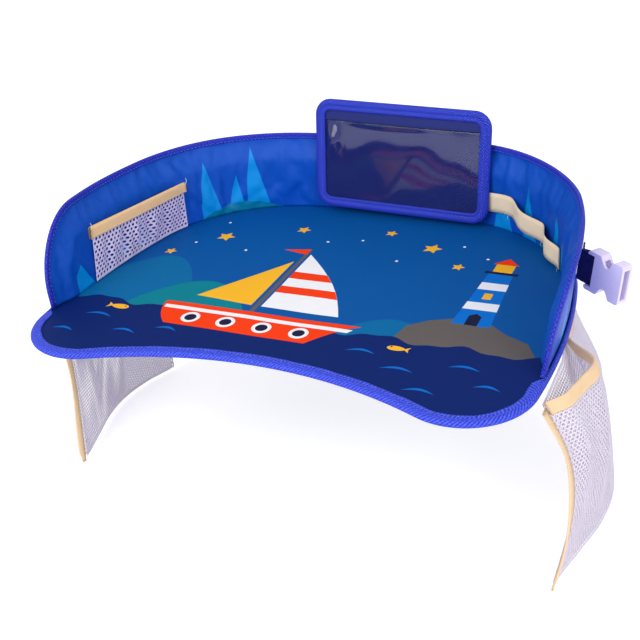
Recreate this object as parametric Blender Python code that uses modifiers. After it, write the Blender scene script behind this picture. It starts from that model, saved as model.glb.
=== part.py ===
"""Car seat tray table: a padded lap tray with a soft wall round its back and sides.

The tray is a thin board between foam and cloth, bound round its edge. A padded wall stands
on it and carries a net pocket, an elastic pencil band and a phone pouch. A net pocket hangs
under each side of the tray. A strap with a side-release buckle holds the tray in place.
Metres, +Z up, +Y away from the child. The origin is on the tray's flat underside.
"""
import bpy
import bmesh
from math import acos, atan2, cos, hypot, pi, radians, sin, tan
from mathutils import Matrix, Vector

# Tray outline, as arcs that run into each other, from the front centre to the right
FRONT_RADIUS = 0.333
FRONT_TURN = radians(-23.8)
LOBE_RADIUS = 0.052
LOBE_TURN = radians(108.4)
SIDE_RADIUS = 0.567
SIDE_TURN = radians(16.6)
CORNER_RADIUS = 0.137
CORNER_TURN = radians(71.0)
FRONT_TO_ORIGIN = 0.130
ARC_STEPS = (7, 10, 5, 9, 2)

# Cloth, tape and the gap between two pieces that touch
FIT_GAP = 0.0003
COVER = 0.0005
TAPE = 0.0006
ELASTIC = 0.0007

# Tray layers and edge binding
BOARD = 0.0012
TRAY_FOAM = 0.0016
LAYER_INSET = 0.003
TRAY_BOARD_INSET = 0.0105
BINDING_FLANGE = 0.009
UNDERSIDE_STEP_START = 0.0003
UNDERSIDE_STEP = 0.0007
BINDING_BESIDE_WALL = 0.0031
FLANGE_NARROWING = 0.008
TAPE_ROUND = 0.0005

# Wall
WALL_HEIGHT = 0.073
WALL_END_RADIUS = 0.060
WALL_INSET = 0.0039
WALL_SETBACK_RIGHT = 0.022
WALL_SETBACK_LEFT = 0.013
WALL_FOAM = 0.0040
WALL_LAYER_GAP = 0.0005
FOAM_CLEARANCE = 0.0010
WALL_LEAN = 0.012
WALL_LEAN_SHARES = (1.0, 0.67, -0.08, -0.08, -0.33, -0.42, 0.33, 0.75, 0.17)
WALL_TAPE_DEPTH = 0.009
PAD_START = 0.0135
PAD_RISE = 0.014
WALL_BOARD_MARGIN = 0.0205
WALL_FOAM_MARGIN = 0.0255
FOAM_LAG = 0.0030
WALL_CORNER_STEPS = 9
WALL_MIDDLE_STEPS = 33
PLAIN_ROW_SHARES = (0.0, 0.35, 0.7, 1.0)
PADDED_ROW_SHARES = (0.0, 0.25, 0.5, 0.625, 0.70, 0.76, 0.82, 1.0)

# Inner net pocket, at the left rear corner of the wall
NET_NEAR_TOP = 0.065
NET_FAR_TOP = 0.187
NET_NEAR_FOOT = 0.053
NET_FAR_FOOT = 0.184
NET_TOP_NEAR_HEIGHT = 0.046
NET_TOP_FAR_HEIGHT = 0.042
NET_FOOT_HEIGHT = 0.001
NET_CORD = 0.0010
NET_STAND_OFF = 0.0022
NET_FOLD = 0.0012
NET_FOLDS = 5
NET_COLUMNS = 18
NET_ROWS = 9
NET_TAPE_DEPTH = 0.0090
NET_TAUT_SHARE = 0.78
NET_TAPE_OVERHANG = 0.0025

# Pencil band, on the right rear corner of the wall
PENCIL_WIDTH = 0.018
PENCIL_END = 0.303
PENCIL_TACKS = (0.166, 0.214, 0.266)
PENCIL_HEIGHTS = (0.0115, 0.0165, 0.0255, 0.0235)
PENCIL_BULGES = (0.0085, 0.0085, 0.0004)
PENCIL_STEPS = 10

# Phone pouch
POUCH_WIDTH = 0.168
POUCH_HEIGHT = 0.102
POUCH_CORNER = 0.011
POUCH_FROM_CENTRE = 0.018
POUCH_STAND_OFF = 0.0143
POUCH_LIFT = 0.0055
POUCH_LEAN = radians(6.0)
POUCH_ROLL = radians(1.2)
POUCH_YAW = radians(0.35)
POUCH_BOARD = 0.0012
POUCH_FLANGE = 0.0100
POUCH_WINDOW = 0.0004
POUCH_MOUTH_DROP = 0.0185
POUCH_BULGE = 0.0070
POUCH_CORNER_STEPS = 6
WINDOW_COLUMNS = 16
WINDOW_ROWS = 9
HOOK_WIDTH = 0.018
HOOK_HEIGHT = 0.028
HOOK_TAPE = 0.0016
HOOK_FROM_END = 0.026
HOOK_LIFT = 0.0105
LOOP_TAPE = 0.0010
LOOP_WIDTH = 0.022
LOOP_COLUMN_STEPS = 4
LOOP_ROW_STEPS = 2

# Net pockets under the sides of the tray
POCKET_DEPTH = 0.155
POCKET_FRONT = 0.012
POCKET_LENGTH = 0.165
POCKET_MOUTH = 0.0205
POCKET_MESH = 0.0007
POCKET_DROP = 0.0003
POCKET_FLARE = 0.031
POCKET_FLARE_SHARES = (0.34, 0.62, 0.91, 1.0, 0.82, 0.45)
POCKET_MOUTH_SHARES = (0.0, 0.46, 0.66, 0.82, 0.98, 0.94, 0.34, 0.04, 0.02, 0.02, 0.02, 0.01, 0.0)
POCKET_SEAM_BOW = 0.013
POCKET_SEAM_SWEEP = 0.019
POCKET_BOTTOM_GROWTH = 0.020
POCKET_SEAM = 0.0022
POCKET_FOLD = 0.0016
POCKET_INNER_FOLD_SHARE = 0.4
POCKET_FOLDS = 4
POCKET_STEPS = 20
POCKET_LEVEL_SHARES = (0.0, 0.07, 0.2, 0.35, 0.5, 0.65, 0.8, 1.0)
RIM_DEPTH = 0.0100
RIM_RISE = 0.0010
RIM_END_SHARE = 0.4
STRIP_WIDTH = 0.0070
STRIP_THICKNESS = 0.0014
STRIP_TAIL = 0.0030
STRIP_TOP_SHARE = 0.02

# Webbing and side-release buckle
WEBBING = 0.0014
WEBBING_WIDTH = 0.025
WEBBING_PATCH = 0.022
WEBBING_STUB = 0.0075
WEBBING_TURN = radians(50.0)
RIGHT_STRAP_PLACE = 0.100
RIGHT_STRAP_HEIGHT = 0.040
BUCKLE_LENGTH = 0.033
BUCKLE_BAR_WIDTH = 0.0315
BUCKLE_WAIST_WIDTH = 0.0165
BUCKLE_SHOULDER_SHARE = 0.36
BUCKLE_LIP_SHARE = 0.74
BUCKLE_WAIST_POWER = 1.3
WAIST_STEPS = 12
BUCKLE_MOUTH_WIDTH = 0.0310
BUCKLE_THICK = 0.0100
BUCKLE_BAR = 0.0024
BUCKLE_SLOT = 0.0040
LOOP_STEPS = 8
BUCKLE_CORNER = 0.0022
CORNER_STEPS = 4
BUCKLE_EDGE = 0.0009
EDGE_STEPS = 2
BUCKLE_THROAT_WIDTH = 0.0240
BUCKLE_THROAT_HEIGHT = 0.0056
BUCKLE_THROAT_DEPTH = 0.0215

# Long strap on the left, folded flat against the wall, with the plug half of the buckle
LEFT_STRAP_PLACE = 0.100
LEFT_STRAP_HEIGHT = 0.034
STRAP_RUN = 0.105
STRAP_RUNS = 8
STRAP_FRONT_SHARE = 0.25
STRAP_END = 0.0010
STRAP_FOLD_GAP = 0.0005
STRAP_TAIL = 0.024
KEEPER_WIDTH = 0.012
KEEPER_PLACE_SHARE = 0.5
PLUG_BASE_LENGTH = 0.0130
PLUG_BASE_WIDTH = 0.0315
PLUG_THICK = 0.0060
PLUG_REACH = 0.0205
PLUG_GUIDE_WIDTH = 0.0042
PLUG_ARM_WIDTH = 0.0030
PLUG_ARM_THICK = 0.0048
PLUG_ARM_PLACE = 0.0082
PLUG_BARB = 0.0036
PLUG_BARB_LENGTH = 0.0076
PLUG_BARB_SLOPE = 0.0036
PLUG_EDGE = 0.0004

OVERRUN = 0.002

# Heights that follow from the layers
UNDERSIDE = 0.0
BOARD_LOW = COVER + FIT_GAP
BOARD_HIGH = BOARD_LOW + BOARD
FOAM_LOW = BOARD_HIGH + FIT_GAP
FOAM_HIGH = FOAM_LOW + TRAY_FOAM
TOP_LOW = FOAM_HIGH + FIT_GAP
TRAY_TOP = TOP_LOW + COVER
FLANGE_TOP = TRAY_TOP + FIT_GAP + TAPE
UNDERSIDE_RIM = UNDERSIDE + TAPE + FIT_GAP
WALL_BASE = TRAY_TOP + FIT_GAP
PANEL_INSET = TAPE + FIT_GAP

# Insets through the wall, from its outer face
WALL_BOARD_FACE = WALL_INSET + COVER + WALL_LAYER_GAP
WALL_FOAM_FACE = WALL_BOARD_FACE + BOARD + WALL_LAYER_GAP
WALL_PINCHED = WALL_INSET + COVER + FIT_GAP
PAD_DEPTH = WALL_FOAM_FACE + WALL_FOAM + FOAM_CLEARANCE - WALL_PINCHED
WALL_INNER_FACE = WALL_PINCHED + PAD_DEPTH + COVER
WALL_SEAM = WALL_INSET + COVER + FIT_GAP / 2

MATERIALS = {
    "printed_cloth": ((0.004, 0.110, 0.330), 0.55, 0.0),
    "blue_cloth": ((0.005, 0.060, 0.400), 0.50, 0.0),
    "navy_cloth": ((0.010, 0.030, 0.200), 0.60, 0.0),
    "blue_tape": ((0.045, 0.060, 0.520), 0.70, 0.0),
    "board": ((0.750, 0.750, 0.720), 0.60, 0.0),
    "foam": ((0.850, 0.850, 0.800), 0.90, 0.0),
    "cream_elastic": ((0.980, 0.680, 0.440), 0.80, 0.0),
    "pale_net": ((0.740, 0.680, 0.900), 0.75, 0.0),
    "clear_sheet": ((0.500, 0.550, 0.750), 0.08, 0.0),
    "hook_tape": ((0.010, 0.030, 0.180), 0.90, 0.0),
    "navy_webbing": ((0.012, 0.006, 0.110), 0.75, 0.0),
    "pale_plastic": ((0.760, 0.680, 0.930), 0.30, 0.0),
}

for old in list(bpy.data.objects):
    bpy.data.objects.remove(old, do_unlink=True)
PARTS = bpy.data.collections.new("car_seat_tray_table")
CUTTERS = bpy.data.collections.new("cutters")
bpy.context.scene.collection.children.link(PARTS)
bpy.context.scene.collection.children.link(CUTTERS)


def material(name):
    """The named material, made the first time it is asked for."""
    found = bpy.data.materials.get(name)
    if found:
        return found
    colour, roughness, metallic = MATERIALS[name]
    made = bpy.data.materials.new(name)
    made.use_nodes = True
    shader = made.node_tree.nodes["Principled BSDF"]
    shader.inputs["Base Color"].default_value = (*colour, 1.0)
    shader.inputs["Roughness"].default_value = roughness
    shader.inputs["Metallic"].default_value = metallic
    made.diffuse_color = (*colour, 1.0)
    return made


def add_object(name, data, finish, parent=None, collection=PARTS):
    """Link a mesh or curve as a named piece, under an empty where it has one."""
    piece = bpy.data.objects.new(name, data)
    collection.objects.link(piece)
    data.materials.append(material(finish))
    if parent:
        piece.parent = parent
    return piece


def mesh_from(bm, name, smooth=True):
    """Turn a closed or open bmesh into a mesh with consistent faces."""
    bmesh.ops.recalc_face_normals(bm, faces=bm.faces)
    mesh = bpy.data.meshes.new(name)
    bm.to_mesh(mesh)
    bm.free()
    if smooth:
        mesh.shade_smooth()
        mesh.set_sharp_from_angle(angle=radians(35))
    return mesh


def add_empty(name, matrix, parent=None):
    """An empty that marks a joint's axis or a group's frame."""
    empty = bpy.data.objects.new(name, None)
    PARTS.objects.link(empty)
    empty.parent = parent
    empty.matrix_local = matrix
    empty.empty_display_size = WEBBING_WIDTH
    return empty


def plate(name, outline, low, high, finish, parent=None, hole=None):
    """A flat piece: a filled 2D curve, extruded from low to high, with a hole if one is given."""
    curve = bpy.data.curves.new(name, "CURVE")
    curve.dimensions = "2D"
    curve.fill_mode = "BOTH"
    curve.extrude = (high - low) / 2
    for loop in (outline, hole) if hole else (outline,):
        spline = curve.splines.new("POLY")
        spline.points.add(len(loop) - 1)
        for point, (x, y) in zip(spline.points, loop):
            point.co = (x, y, 0.0, 1.0)
        spline.use_cyclic_u = True
    piece = add_object(name, curve, finish, parent)
    piece.location = (0.0, 0.0, (low + high) / 2)
    return piece


def loft(name, rings, finish, cyclic=False, parent=None):
    """A closed body through rings of points, capped at its ends unless it is cyclic."""
    bm = bmesh.new()
    rows = [[bm.verts.new(point) for point in ring] for ring in rings]
    count = len(rows[0])
    pairs = list(zip(rows, rows[1:]))
    if cyclic:
        pairs.append((rows[-1], rows[0]))
    for first, second in pairs:
        for i in range(count):
            j = (i + 1) % count
            bm.faces.new((first[i], first[j], second[j], second[i]))
    if not cyclic:
        bm.faces.new(rows[0])
        bm.faces.new(rows[-1])
    return add_object(name, mesh_from(bm, name), finish, parent)


def grid_mesh(name, columns, rows, place):
    """An open sheet: a grid whose points place(i, j) puts where they belong."""
    bm = bmesh.new()
    bmesh.ops.create_grid(bm, x_segments=columns, y_segments=rows, size=1)
    for vert in bm.verts:
        i = round((vert.co.x + 1) / 2 * columns)
        j = round((vert.co.y + 1) / 2 * rows)
        vert.co = place(i, j)
    return mesh_from(bm, name)


def solidify(piece, thickness):
    """Give a sheet its thickness, half to each side."""
    shell = piece.modifiers.new("thickness", "SOLIDIFY")
    shell.thickness = thickness
    shell.offset = 0.0
    return shell


def smooth_step(value):
    """Rise from 0 to 1 with level ends."""
    value = min(max(value, 0.0), 1.0)
    return value * value * (3 - 2 * value)


def smooth_table(values, share):
    """Read a table of evenly spaced values along one smooth curve."""
    last = len(values) - 1
    place = min(max(share, 0.0), 1.0) * last
    i = min(int(place), last - 1)
    t = place - i
    before = values[max(i - 1, 0)]
    after = values[min(i + 2, last)]
    start, end = values[i], values[i + 1]
    return (start + t / 2 * (end - before)
            + t * t * (before - 2.5 * start + 2 * end - after / 2)
            + t * t * t / 2 * (3 * start - before - 3 * end + after))


# Tray outline

def outline_arcs():
    """Radius, turn, centre, heading and length of each arc of the right half."""
    arcs = []
    spot = Vector((0.0, -FRONT_TO_ORIGIN))
    heading = 0.0
    turns = ((FRONT_RADIUS, FRONT_TURN), (LOBE_RADIUS, LOBE_TURN),
             (SIDE_RADIUS, SIDE_TURN), (CORNER_RADIUS, CORNER_TURN))
    for radius, turn in turns:
        sign = 1 if turn > 0 else -1
        centre = spot + Vector((-sin(heading), cos(heading))) * radius * sign
        arcs.append((radius, turn, centre, heading, abs(radius * turn)))
        heading += turn
        spot = centre - Vector((-sin(heading), cos(heading))) * radius * sign
    turn = pi - heading
    radius = spot.x / sin(turn)
    centre = spot + Vector((-sin(heading), cos(heading))) * radius
    arcs.append((radius, turn, centre, heading, radius * turn))
    return arcs


ARCS = outline_arcs()
HALF_LENGTH = sum(arc[4] for arc in ARCS)
LOBE_END = ARCS[0][4] + ARCS[1][4]
WALL_FIRST = LOBE_END + WALL_SETBACK_RIGHT
WALL_LENGTH = 2 * HALF_LENGTH - LOBE_END - WALL_SETBACK_LEFT - WALL_FIRST


def outline_station(distance):
    """Point on the outline and its outward normal, at a distance from the front centre."""
    distance = distance % (2 * HALF_LENGTH)
    mirrored = distance > HALF_LENGTH
    if mirrored:
        distance = 2 * HALF_LENGTH - distance
    for radius, turn, centre, heading, length in ARCS[:-1]:
        if distance <= length:
            break
        distance -= length
    else:
        radius, turn, centre, heading, length = ARCS[-1]
    sign = 1 if turn > 0 else -1
    heading = heading + sign * distance / radius
    outward = Vector((sin(heading), -cos(heading)))
    point = centre + outward * radius * sign
    if mirrored:
        point.x = -point.x
        outward.x = -outward.x
    return point, outward


def outline_distances():
    """Where the outline is sampled: each arc in its own number of steps, on both halves."""
    half = []
    start = 0.0
    for arc, steps in zip(ARCS, ARC_STEPS):
        half += [start + arc[4] * k / steps for k in range(steps)]
        start += arc[4]
    other = [2 * HALF_LENGTH - d for d in half[1:]]
    return half + [HALF_LENGTH] + other[::-1]


def tray_outline(inset):
    """The tray's outline, drawn in by an inset."""
    points = []
    for distance in outline_distances():
        point, outward = outline_station(distance)
        points.append(point - outward * inset)
    return points


def band_section(flange_top, flange_low, top, low):
    """The folded tape round an edge, as (inset, height) points of a closed C shape."""
    return ((flange_top, top), (TAPE_ROUND, top), (0.0, top - TAPE_ROUND),
            (0.0, low + TAPE_ROUND), (TAPE_ROUND, low), (flange_low, low),
            (flange_low, low + TAPE), (TAPE, low + TAPE), (TAPE, top - TAPE),
            (flange_top, top - TAPE))


def build_underside():
    """The underside cloth: its rim lies on the tape, and inside the tape it drops flush with it."""
    step = BINDING_FLANGE + UNDERSIDE_STEP_START
    profile = ((PANEL_INSET, UNDERSIDE_RIM), (step, UNDERSIDE_RIM), (step + UNDERSIDE_STEP, UNDERSIDE))
    bm = bmesh.new()
    fields = []
    for thickness in (0.0, COVER):
        rings = [[bm.verts.new((*point, height + thickness)) for point in tray_outline(inset)]
                 for inset, height in profile]
        for first, second in zip(rings, rings[1:]):
            for i in range(len(first)):
                bm.faces.new((first[i - 1], first[i], second[i], second[i - 1]))
        bm.faces.new(rings[-1])
        fields.append(rings[0])
    low, high = fields
    for i in range(len(low)):
        bm.faces.new((low[i - 1], low[i], high[i], high[i - 1]))
    add_object("tray_bottom_cover", mesh_from(bm, "tray_bottom_cover"), "navy_cloth")


def build_tray():
    """Underside cloth, board, foam, printed top and the tape round their edge."""
    build_underside()
    covers = tray_outline(PANEL_INSET)
    plate("tray_board", tray_outline(TRAY_BOARD_INSET), BOARD_LOW, BOARD_HIGH, "board")
    plate("tray_foam", tray_outline(LAYER_INSET), FOAM_LOW, FOAM_HIGH, "foam")
    plate("tray_top_cover", covers, TOP_LOW, TRAY_TOP, "printed_cloth")
    wall_last = WALL_FIRST + WALL_LENGTH
    marks = [WALL_FIRST - FLANGE_NARROWING, WALL_FIRST - FIT_GAP,
             wall_last + FIT_GAP, wall_last + FLANGE_NARROWING]
    rings = []
    for distance in sorted(outline_distances() + marks):
        point, outward = outline_station(distance)
        apart = max(WALL_FIRST - FIT_GAP - distance, distance - wall_last - FIT_GAP, 0.0)
        share = smooth_step(apart / FLANGE_NARROWING)
        flange = BINDING_BESIDE_WALL + (BINDING_FLANGE - BINDING_BESIDE_WALL) * share
        section = band_section(flange, BINDING_FLANGE, FLANGE_TOP, UNDERSIDE)
        rings.append([(*(point - outward * inset), height) for inset, height in section])
    loft("tray_edge_binding", rings, "blue_tape", cyclic=True)


# Wall

def wall_lean(place):
    """How far the wall's top stands outside its foot, at a place along the wall."""
    return WALL_LEAN * smooth_table(WALL_LEAN_SHARES, place / WALL_LENGTH)


def column_point(place, height, inset):
    """A point of one of the wall's columns."""
    point, outward = outline_station(WALL_FIRST + place)
    flat = point - outward * (inset - wall_lean(place) * height / WALL_HEIGHT)
    return Vector((*flat, WALL_BASE + height))


def wall_point(place, height, inset):
    """A point in the wall, from its right foot along, up from the tray and in from its outline."""
    span = (WALL_LENGTH - 2 * WALL_END_RADIUS) / WALL_MIDDLE_STEPS
    column = (place - WALL_END_RADIUS) / span
    if column < 0 or column > WALL_MIDDLE_STEPS:
        return column_point(place, height, inset)
    left = min(int(column), WALL_MIDDLE_STEPS - 1)
    start = WALL_END_RADIUS + span * left
    near = column_point(start, height, inset)
    return near.lerp(column_point(start + span, height, inset), column - left)


def wall_columns(margin):
    """(place, height) of the wall's rim, drawn in by a margin, from foot to foot."""
    radius = WALL_END_RADIUS - margin
    flat = WALL_LENGTH - 2 * WALL_END_RADIUS
    corner = []
    for k in range(WALL_CORNER_STEPS):
        angle = pi / 2 * k / WALL_CORNER_STEPS
        corner.append((WALL_END_RADIUS - radius * cos(angle),
                       WALL_HEIGHT - WALL_END_RADIUS + radius * sin(angle)))
    middle = [(WALL_END_RADIUS + flat * k / WALL_MIDDLE_STEPS, WALL_HEIGHT - margin)
              for k in range(WALL_MIDDLE_STEPS + 1)]
    return corner + middle + [(WALL_LENGTH - place, height) for place, height in corner[::-1]]


def edge_distance(place, height):
    """How far a spot on the wall is from its taped rim."""
    place = min(place, WALL_LENGTH - place)
    over = height - (WALL_HEIGHT - WALL_END_RADIUS)
    if place < WALL_END_RADIUS and over > 0:
        return WALL_END_RADIUS - hypot(WALL_END_RADIUS - place, over)
    return min(place, WALL_HEIGHT - height)


def pad_swell(place, height, lag=0.0):
    """How far the padding pushes the inner cloth away from the outer, past the seam."""
    rise = (edge_distance(place, height) - PAD_START - lag) / PAD_RISE
    return PAD_DEPTH * smooth_step(rise)


def inner_face(place, height):
    """Inset of the wall's inner face."""
    return WALL_PINCHED + pad_swell(place, height) + COVER


def wall_sheet(name, margin, shares, inset_at, thickness, finish):
    """One layer of the wall as a sheet with a thickness."""
    columns = wall_columns(margin)

    def place(i, j):
        along, top = columns[i]
        height = top * shares[j]
        return wall_point(along, height, inset_at(along, height))

    mesh = grid_mesh(name, len(columns) - 1, len(shares) - 1, place)
    piece = add_object(name, mesh, finish)
    solidify(piece, thickness)
    return piece


def wall_padding(name, finish):
    """The foam: flat against the board, swelling towards the inside, thin at its rim."""
    columns = wall_columns(WALL_FOAM_MARGIN)
    rings = []
    for along, top in columns:
        heights = [top * share for share in PADDED_ROW_SHARES]
        flat_side = [wall_point(along, h, WALL_FOAM_FACE) for h in heights]
        swell = [pad_swell(along, h, FOAM_LAG) - FOAM_CLEARANCE for h in heights]
        swelled = [wall_point(along, h, WALL_PINCHED + s) for h, s in zip(heights, swell)]
        rings.append(flat_side + swelled[::-1])
    return loft(name, rings, finish)


def folded_tape(name, count, place, half_gap, tape, depth, finish, parent=None):
    """Tape folded over an edge: place(i, across, inward) puts each section's points."""
    outer = half_gap + tape
    crown = -FIT_GAP - tape
    section = ((-outer, depth), (-outer, -FIT_GAP), (-half_gap, crown), (half_gap, crown),
               (outer, -FIT_GAP), (outer, depth), (half_gap, depth), (half_gap, -FIT_GAP),
               (-half_gap, -FIT_GAP), (-half_gap, depth))
    rings = [[place(i, across, inward) for across, inward in section] for i in range(count)]
    return loft(name, rings, finish, parent=parent)


def build_wall():
    """Outer cloth, board, foam, inner cloth and the tape over their rim."""
    wall_sheet("wall_outer_cover", 0.0, PLAIN_ROW_SHARES,
               lambda along, height: WALL_INSET + COVER / 2, COVER, "blue_cloth")
    wall_sheet("wall_board", WALL_BOARD_MARGIN, PLAIN_ROW_SHARES,
               lambda along, height: WALL_BOARD_FACE + BOARD / 2, BOARD, "board")
    wall_padding("wall_foam", "foam")
    wall_sheet("wall_inner_cover", 0.0, PADDED_ROW_SHARES,
               lambda along, height: inner_face(along, height) - COVER / 2, COVER, "printed_cloth")
    rim = wall_columns(0.0)
    first_height = FLANGE_TOP + FIT_GAP - WALL_BASE
    rim = [(0.0, first_height)] + rim + [(WALL_LENGTH, first_height)]

    def place(i, across, inward):
        along, height = rim[i]
        near = min(along, WALL_LENGTH - along)
        over = max(height - (WALL_HEIGHT - WALL_END_RADIUS), 0.0)
        turn = pi / 2 if near >= WALL_END_RADIUS else atan2(over, WALL_END_RADIUS - near)
        side = 1 if along < WALL_LENGTH / 2 else -1
        return wall_point(along + side * inward * cos(turn), height - inward * sin(turn),
                          WALL_SEAM + across)

    folded_tape("wall_top_binding", len(rim), place, COVER + FIT_GAP * 1.5, TAPE,
                WALL_TAPE_DEPTH, "blue_tape")


# Inner net pocket

def net_spot(share, rise):
    """A point of the net: share along it, rise from 0 at its foot to 1 at its top edge."""
    foot_along = NET_NEAR_FOOT + (NET_FAR_FOOT - NET_NEAR_FOOT) * share
    top_along = NET_NEAR_TOP + (NET_FAR_TOP - NET_NEAR_TOP) * share
    top_height = NET_TOP_NEAR_HEIGHT + (NET_TOP_FAR_HEIGHT - NET_TOP_NEAR_HEIGHT) * share
    held = min(max(share, 0.0), 1.0)
    held_along = NET_NEAR_TOP + (NET_FAR_TOP - NET_NEAR_TOP) * held

    def on_wall(from_foot, height):
        along = WALL_LENGTH - from_foot
        return wall_point(along, height, inner_face(along, height) + NET_STAND_OFF)

    near = on_wall(NET_NEAR_TOP, NET_TOP_NEAR_HEIGHT)
    far = on_wall(NET_FAR_TOP, NET_TOP_FAR_HEIGHT)
    pull = near.lerp(far, held) - on_wall(held_along, top_height)
    inwards = Vector((far.y - near.y, near.x - far.x, 0.0)).normalized()
    settled = min(rise / NET_TAUT_SHARE, 1.0)
    fold = NET_FOLD * sin(2 * pi * NET_FOLDS * share) * sin(pi * share) * sin(pi * settled)
    spot = on_wall(foot_along + (top_along - foot_along) * rise,
                   NET_FOOT_HEIGHT + (top_height - NET_FOOT_HEIGHT) * rise)
    return spot + pull * smooth_step(settled) + inwards * fold, inwards


def build_inner_pocket():
    """The net, with its gaps, and the elastic folded over its top edge."""
    mesh = grid_mesh("inner_pocket_net", NET_COLUMNS, NET_ROWS,
                     lambda i, j: net_spot(i / NET_COLUMNS, j / NET_ROWS)[0])
    net = add_object("inner_pocket_net", mesh, "pale_net")
    cords = net.modifiers.new("cords", "WIREFRAME")
    cords.thickness = NET_CORD
    cords.use_boundary = True
    cords.use_replace = True
    cords.use_even_offset = False

    overhang = NET_TAPE_OVERHANG / (NET_FAR_TOP - NET_NEAR_TOP)
    half = NET_CORD / 2 + FIT_GAP + NET_CORD / 4

    def place(i, across, inward):
        share = min(max((i - 1) / NET_COLUMNS, -overhang), 1 + overhang)
        spot, inwards = net_spot(share, 1 - (inward - NET_CORD / 2) / NET_TOP_NEAR_HEIGHT)
        return spot + inwards * across

    folded_tape("inner_pocket_elastic", NET_COLUMNS + 3, place, half, ELASTIC,
                NET_TAPE_DEPTH, "cream_elastic")


def build_pencil_band():
    """An elastic band tacked to the wall, standing off it in loops for pencils."""
    tacks = PENCIL_TACKS + (PENCIL_END,)
    rings = []
    for k, (start, end) in enumerate(zip(tacks, tacks[1:])):
        for step in range(PENCIL_STEPS + (k == len(tacks) - 2)):
            share = step / PENCIL_STEPS
            along = start + (end - start) * share
            middle = PENCIL_HEIGHTS[k] + (PENCIL_HEIGHTS[k + 1] - PENCIL_HEIGHTS[k]) * smooth_step(share)
            off = PENCIL_BULGES[k] * sin(pi * share) ** 2
            ring = []
            for side, depth in ((-1, 0), (1, 0), (1, 1), (-1, 1)):
                height = middle + side * PENCIL_WIDTH / 2
                inset = inner_face(along, middle) + FIT_GAP + off + depth * ELASTIC
                ring.append(wall_point(along, height, inset))
            rings.append(ring)
    loft("pencil_elastic", rings, "cream_elastic")


# Phone pouch

def rounded_stations(width, height, radius, steps):
    """Points and outward normals round a rectangle with round corners, foot on y = 0."""
    stations = []
    corners = ((1, 1, 0.0), (-1, 1, pi / 2), (-1, -1, pi), (1, -1, 1.5 * pi))
    for side_x, side_y, start in corners:
        centre = Vector((side_x * (width / 2 - radius),
                         height / 2 + side_y * (height / 2 - radius)))
        for k in range(steps + 1):
            angle = start + pi / 2 * k / steps
            outward = Vector((cos(angle), sin(angle)))
            stations.append((centre + outward * radius, outward))
    return stations


def rounded_outline(inset):
    """The pouch's outline, drawn in by an inset."""
    stations = rounded_stations(POUCH_WIDTH, POUCH_HEIGHT, POUCH_CORNER, POUCH_CORNER_STEPS)
    return [point - outward * inset for point, outward in stations]


def pouch_frame():
    """Where the pouch stands: x along the wall, y up and z towards the child."""
    place = HALF_LENGTH - WALL_FIRST - POUCH_FROM_CENTRE
    foot = wall_point(place, POUCH_LIFT, WALL_INNER_FACE)
    outward = outline_station(WALL_FIRST + place)[1]
    front = Vector((-outward.x, -outward.y, 0.0))
    side = Vector((outward.y, -outward.x, 0.0))
    turn = Matrix((side, Vector((0.0, 0.0, 1.0)), front)).transposed()
    turn = turn @ Matrix.Rotation(-POUCH_LEAN, 3, "X") @ Matrix.Rotation(-POUCH_ROLL, 3, "Z")
    turn = turn @ Matrix.Rotation(POUCH_YAW, 3, "Y")
    return Matrix.Translation(foot + front * POUCH_STAND_OFF) @ turn.to_4x4()


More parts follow.
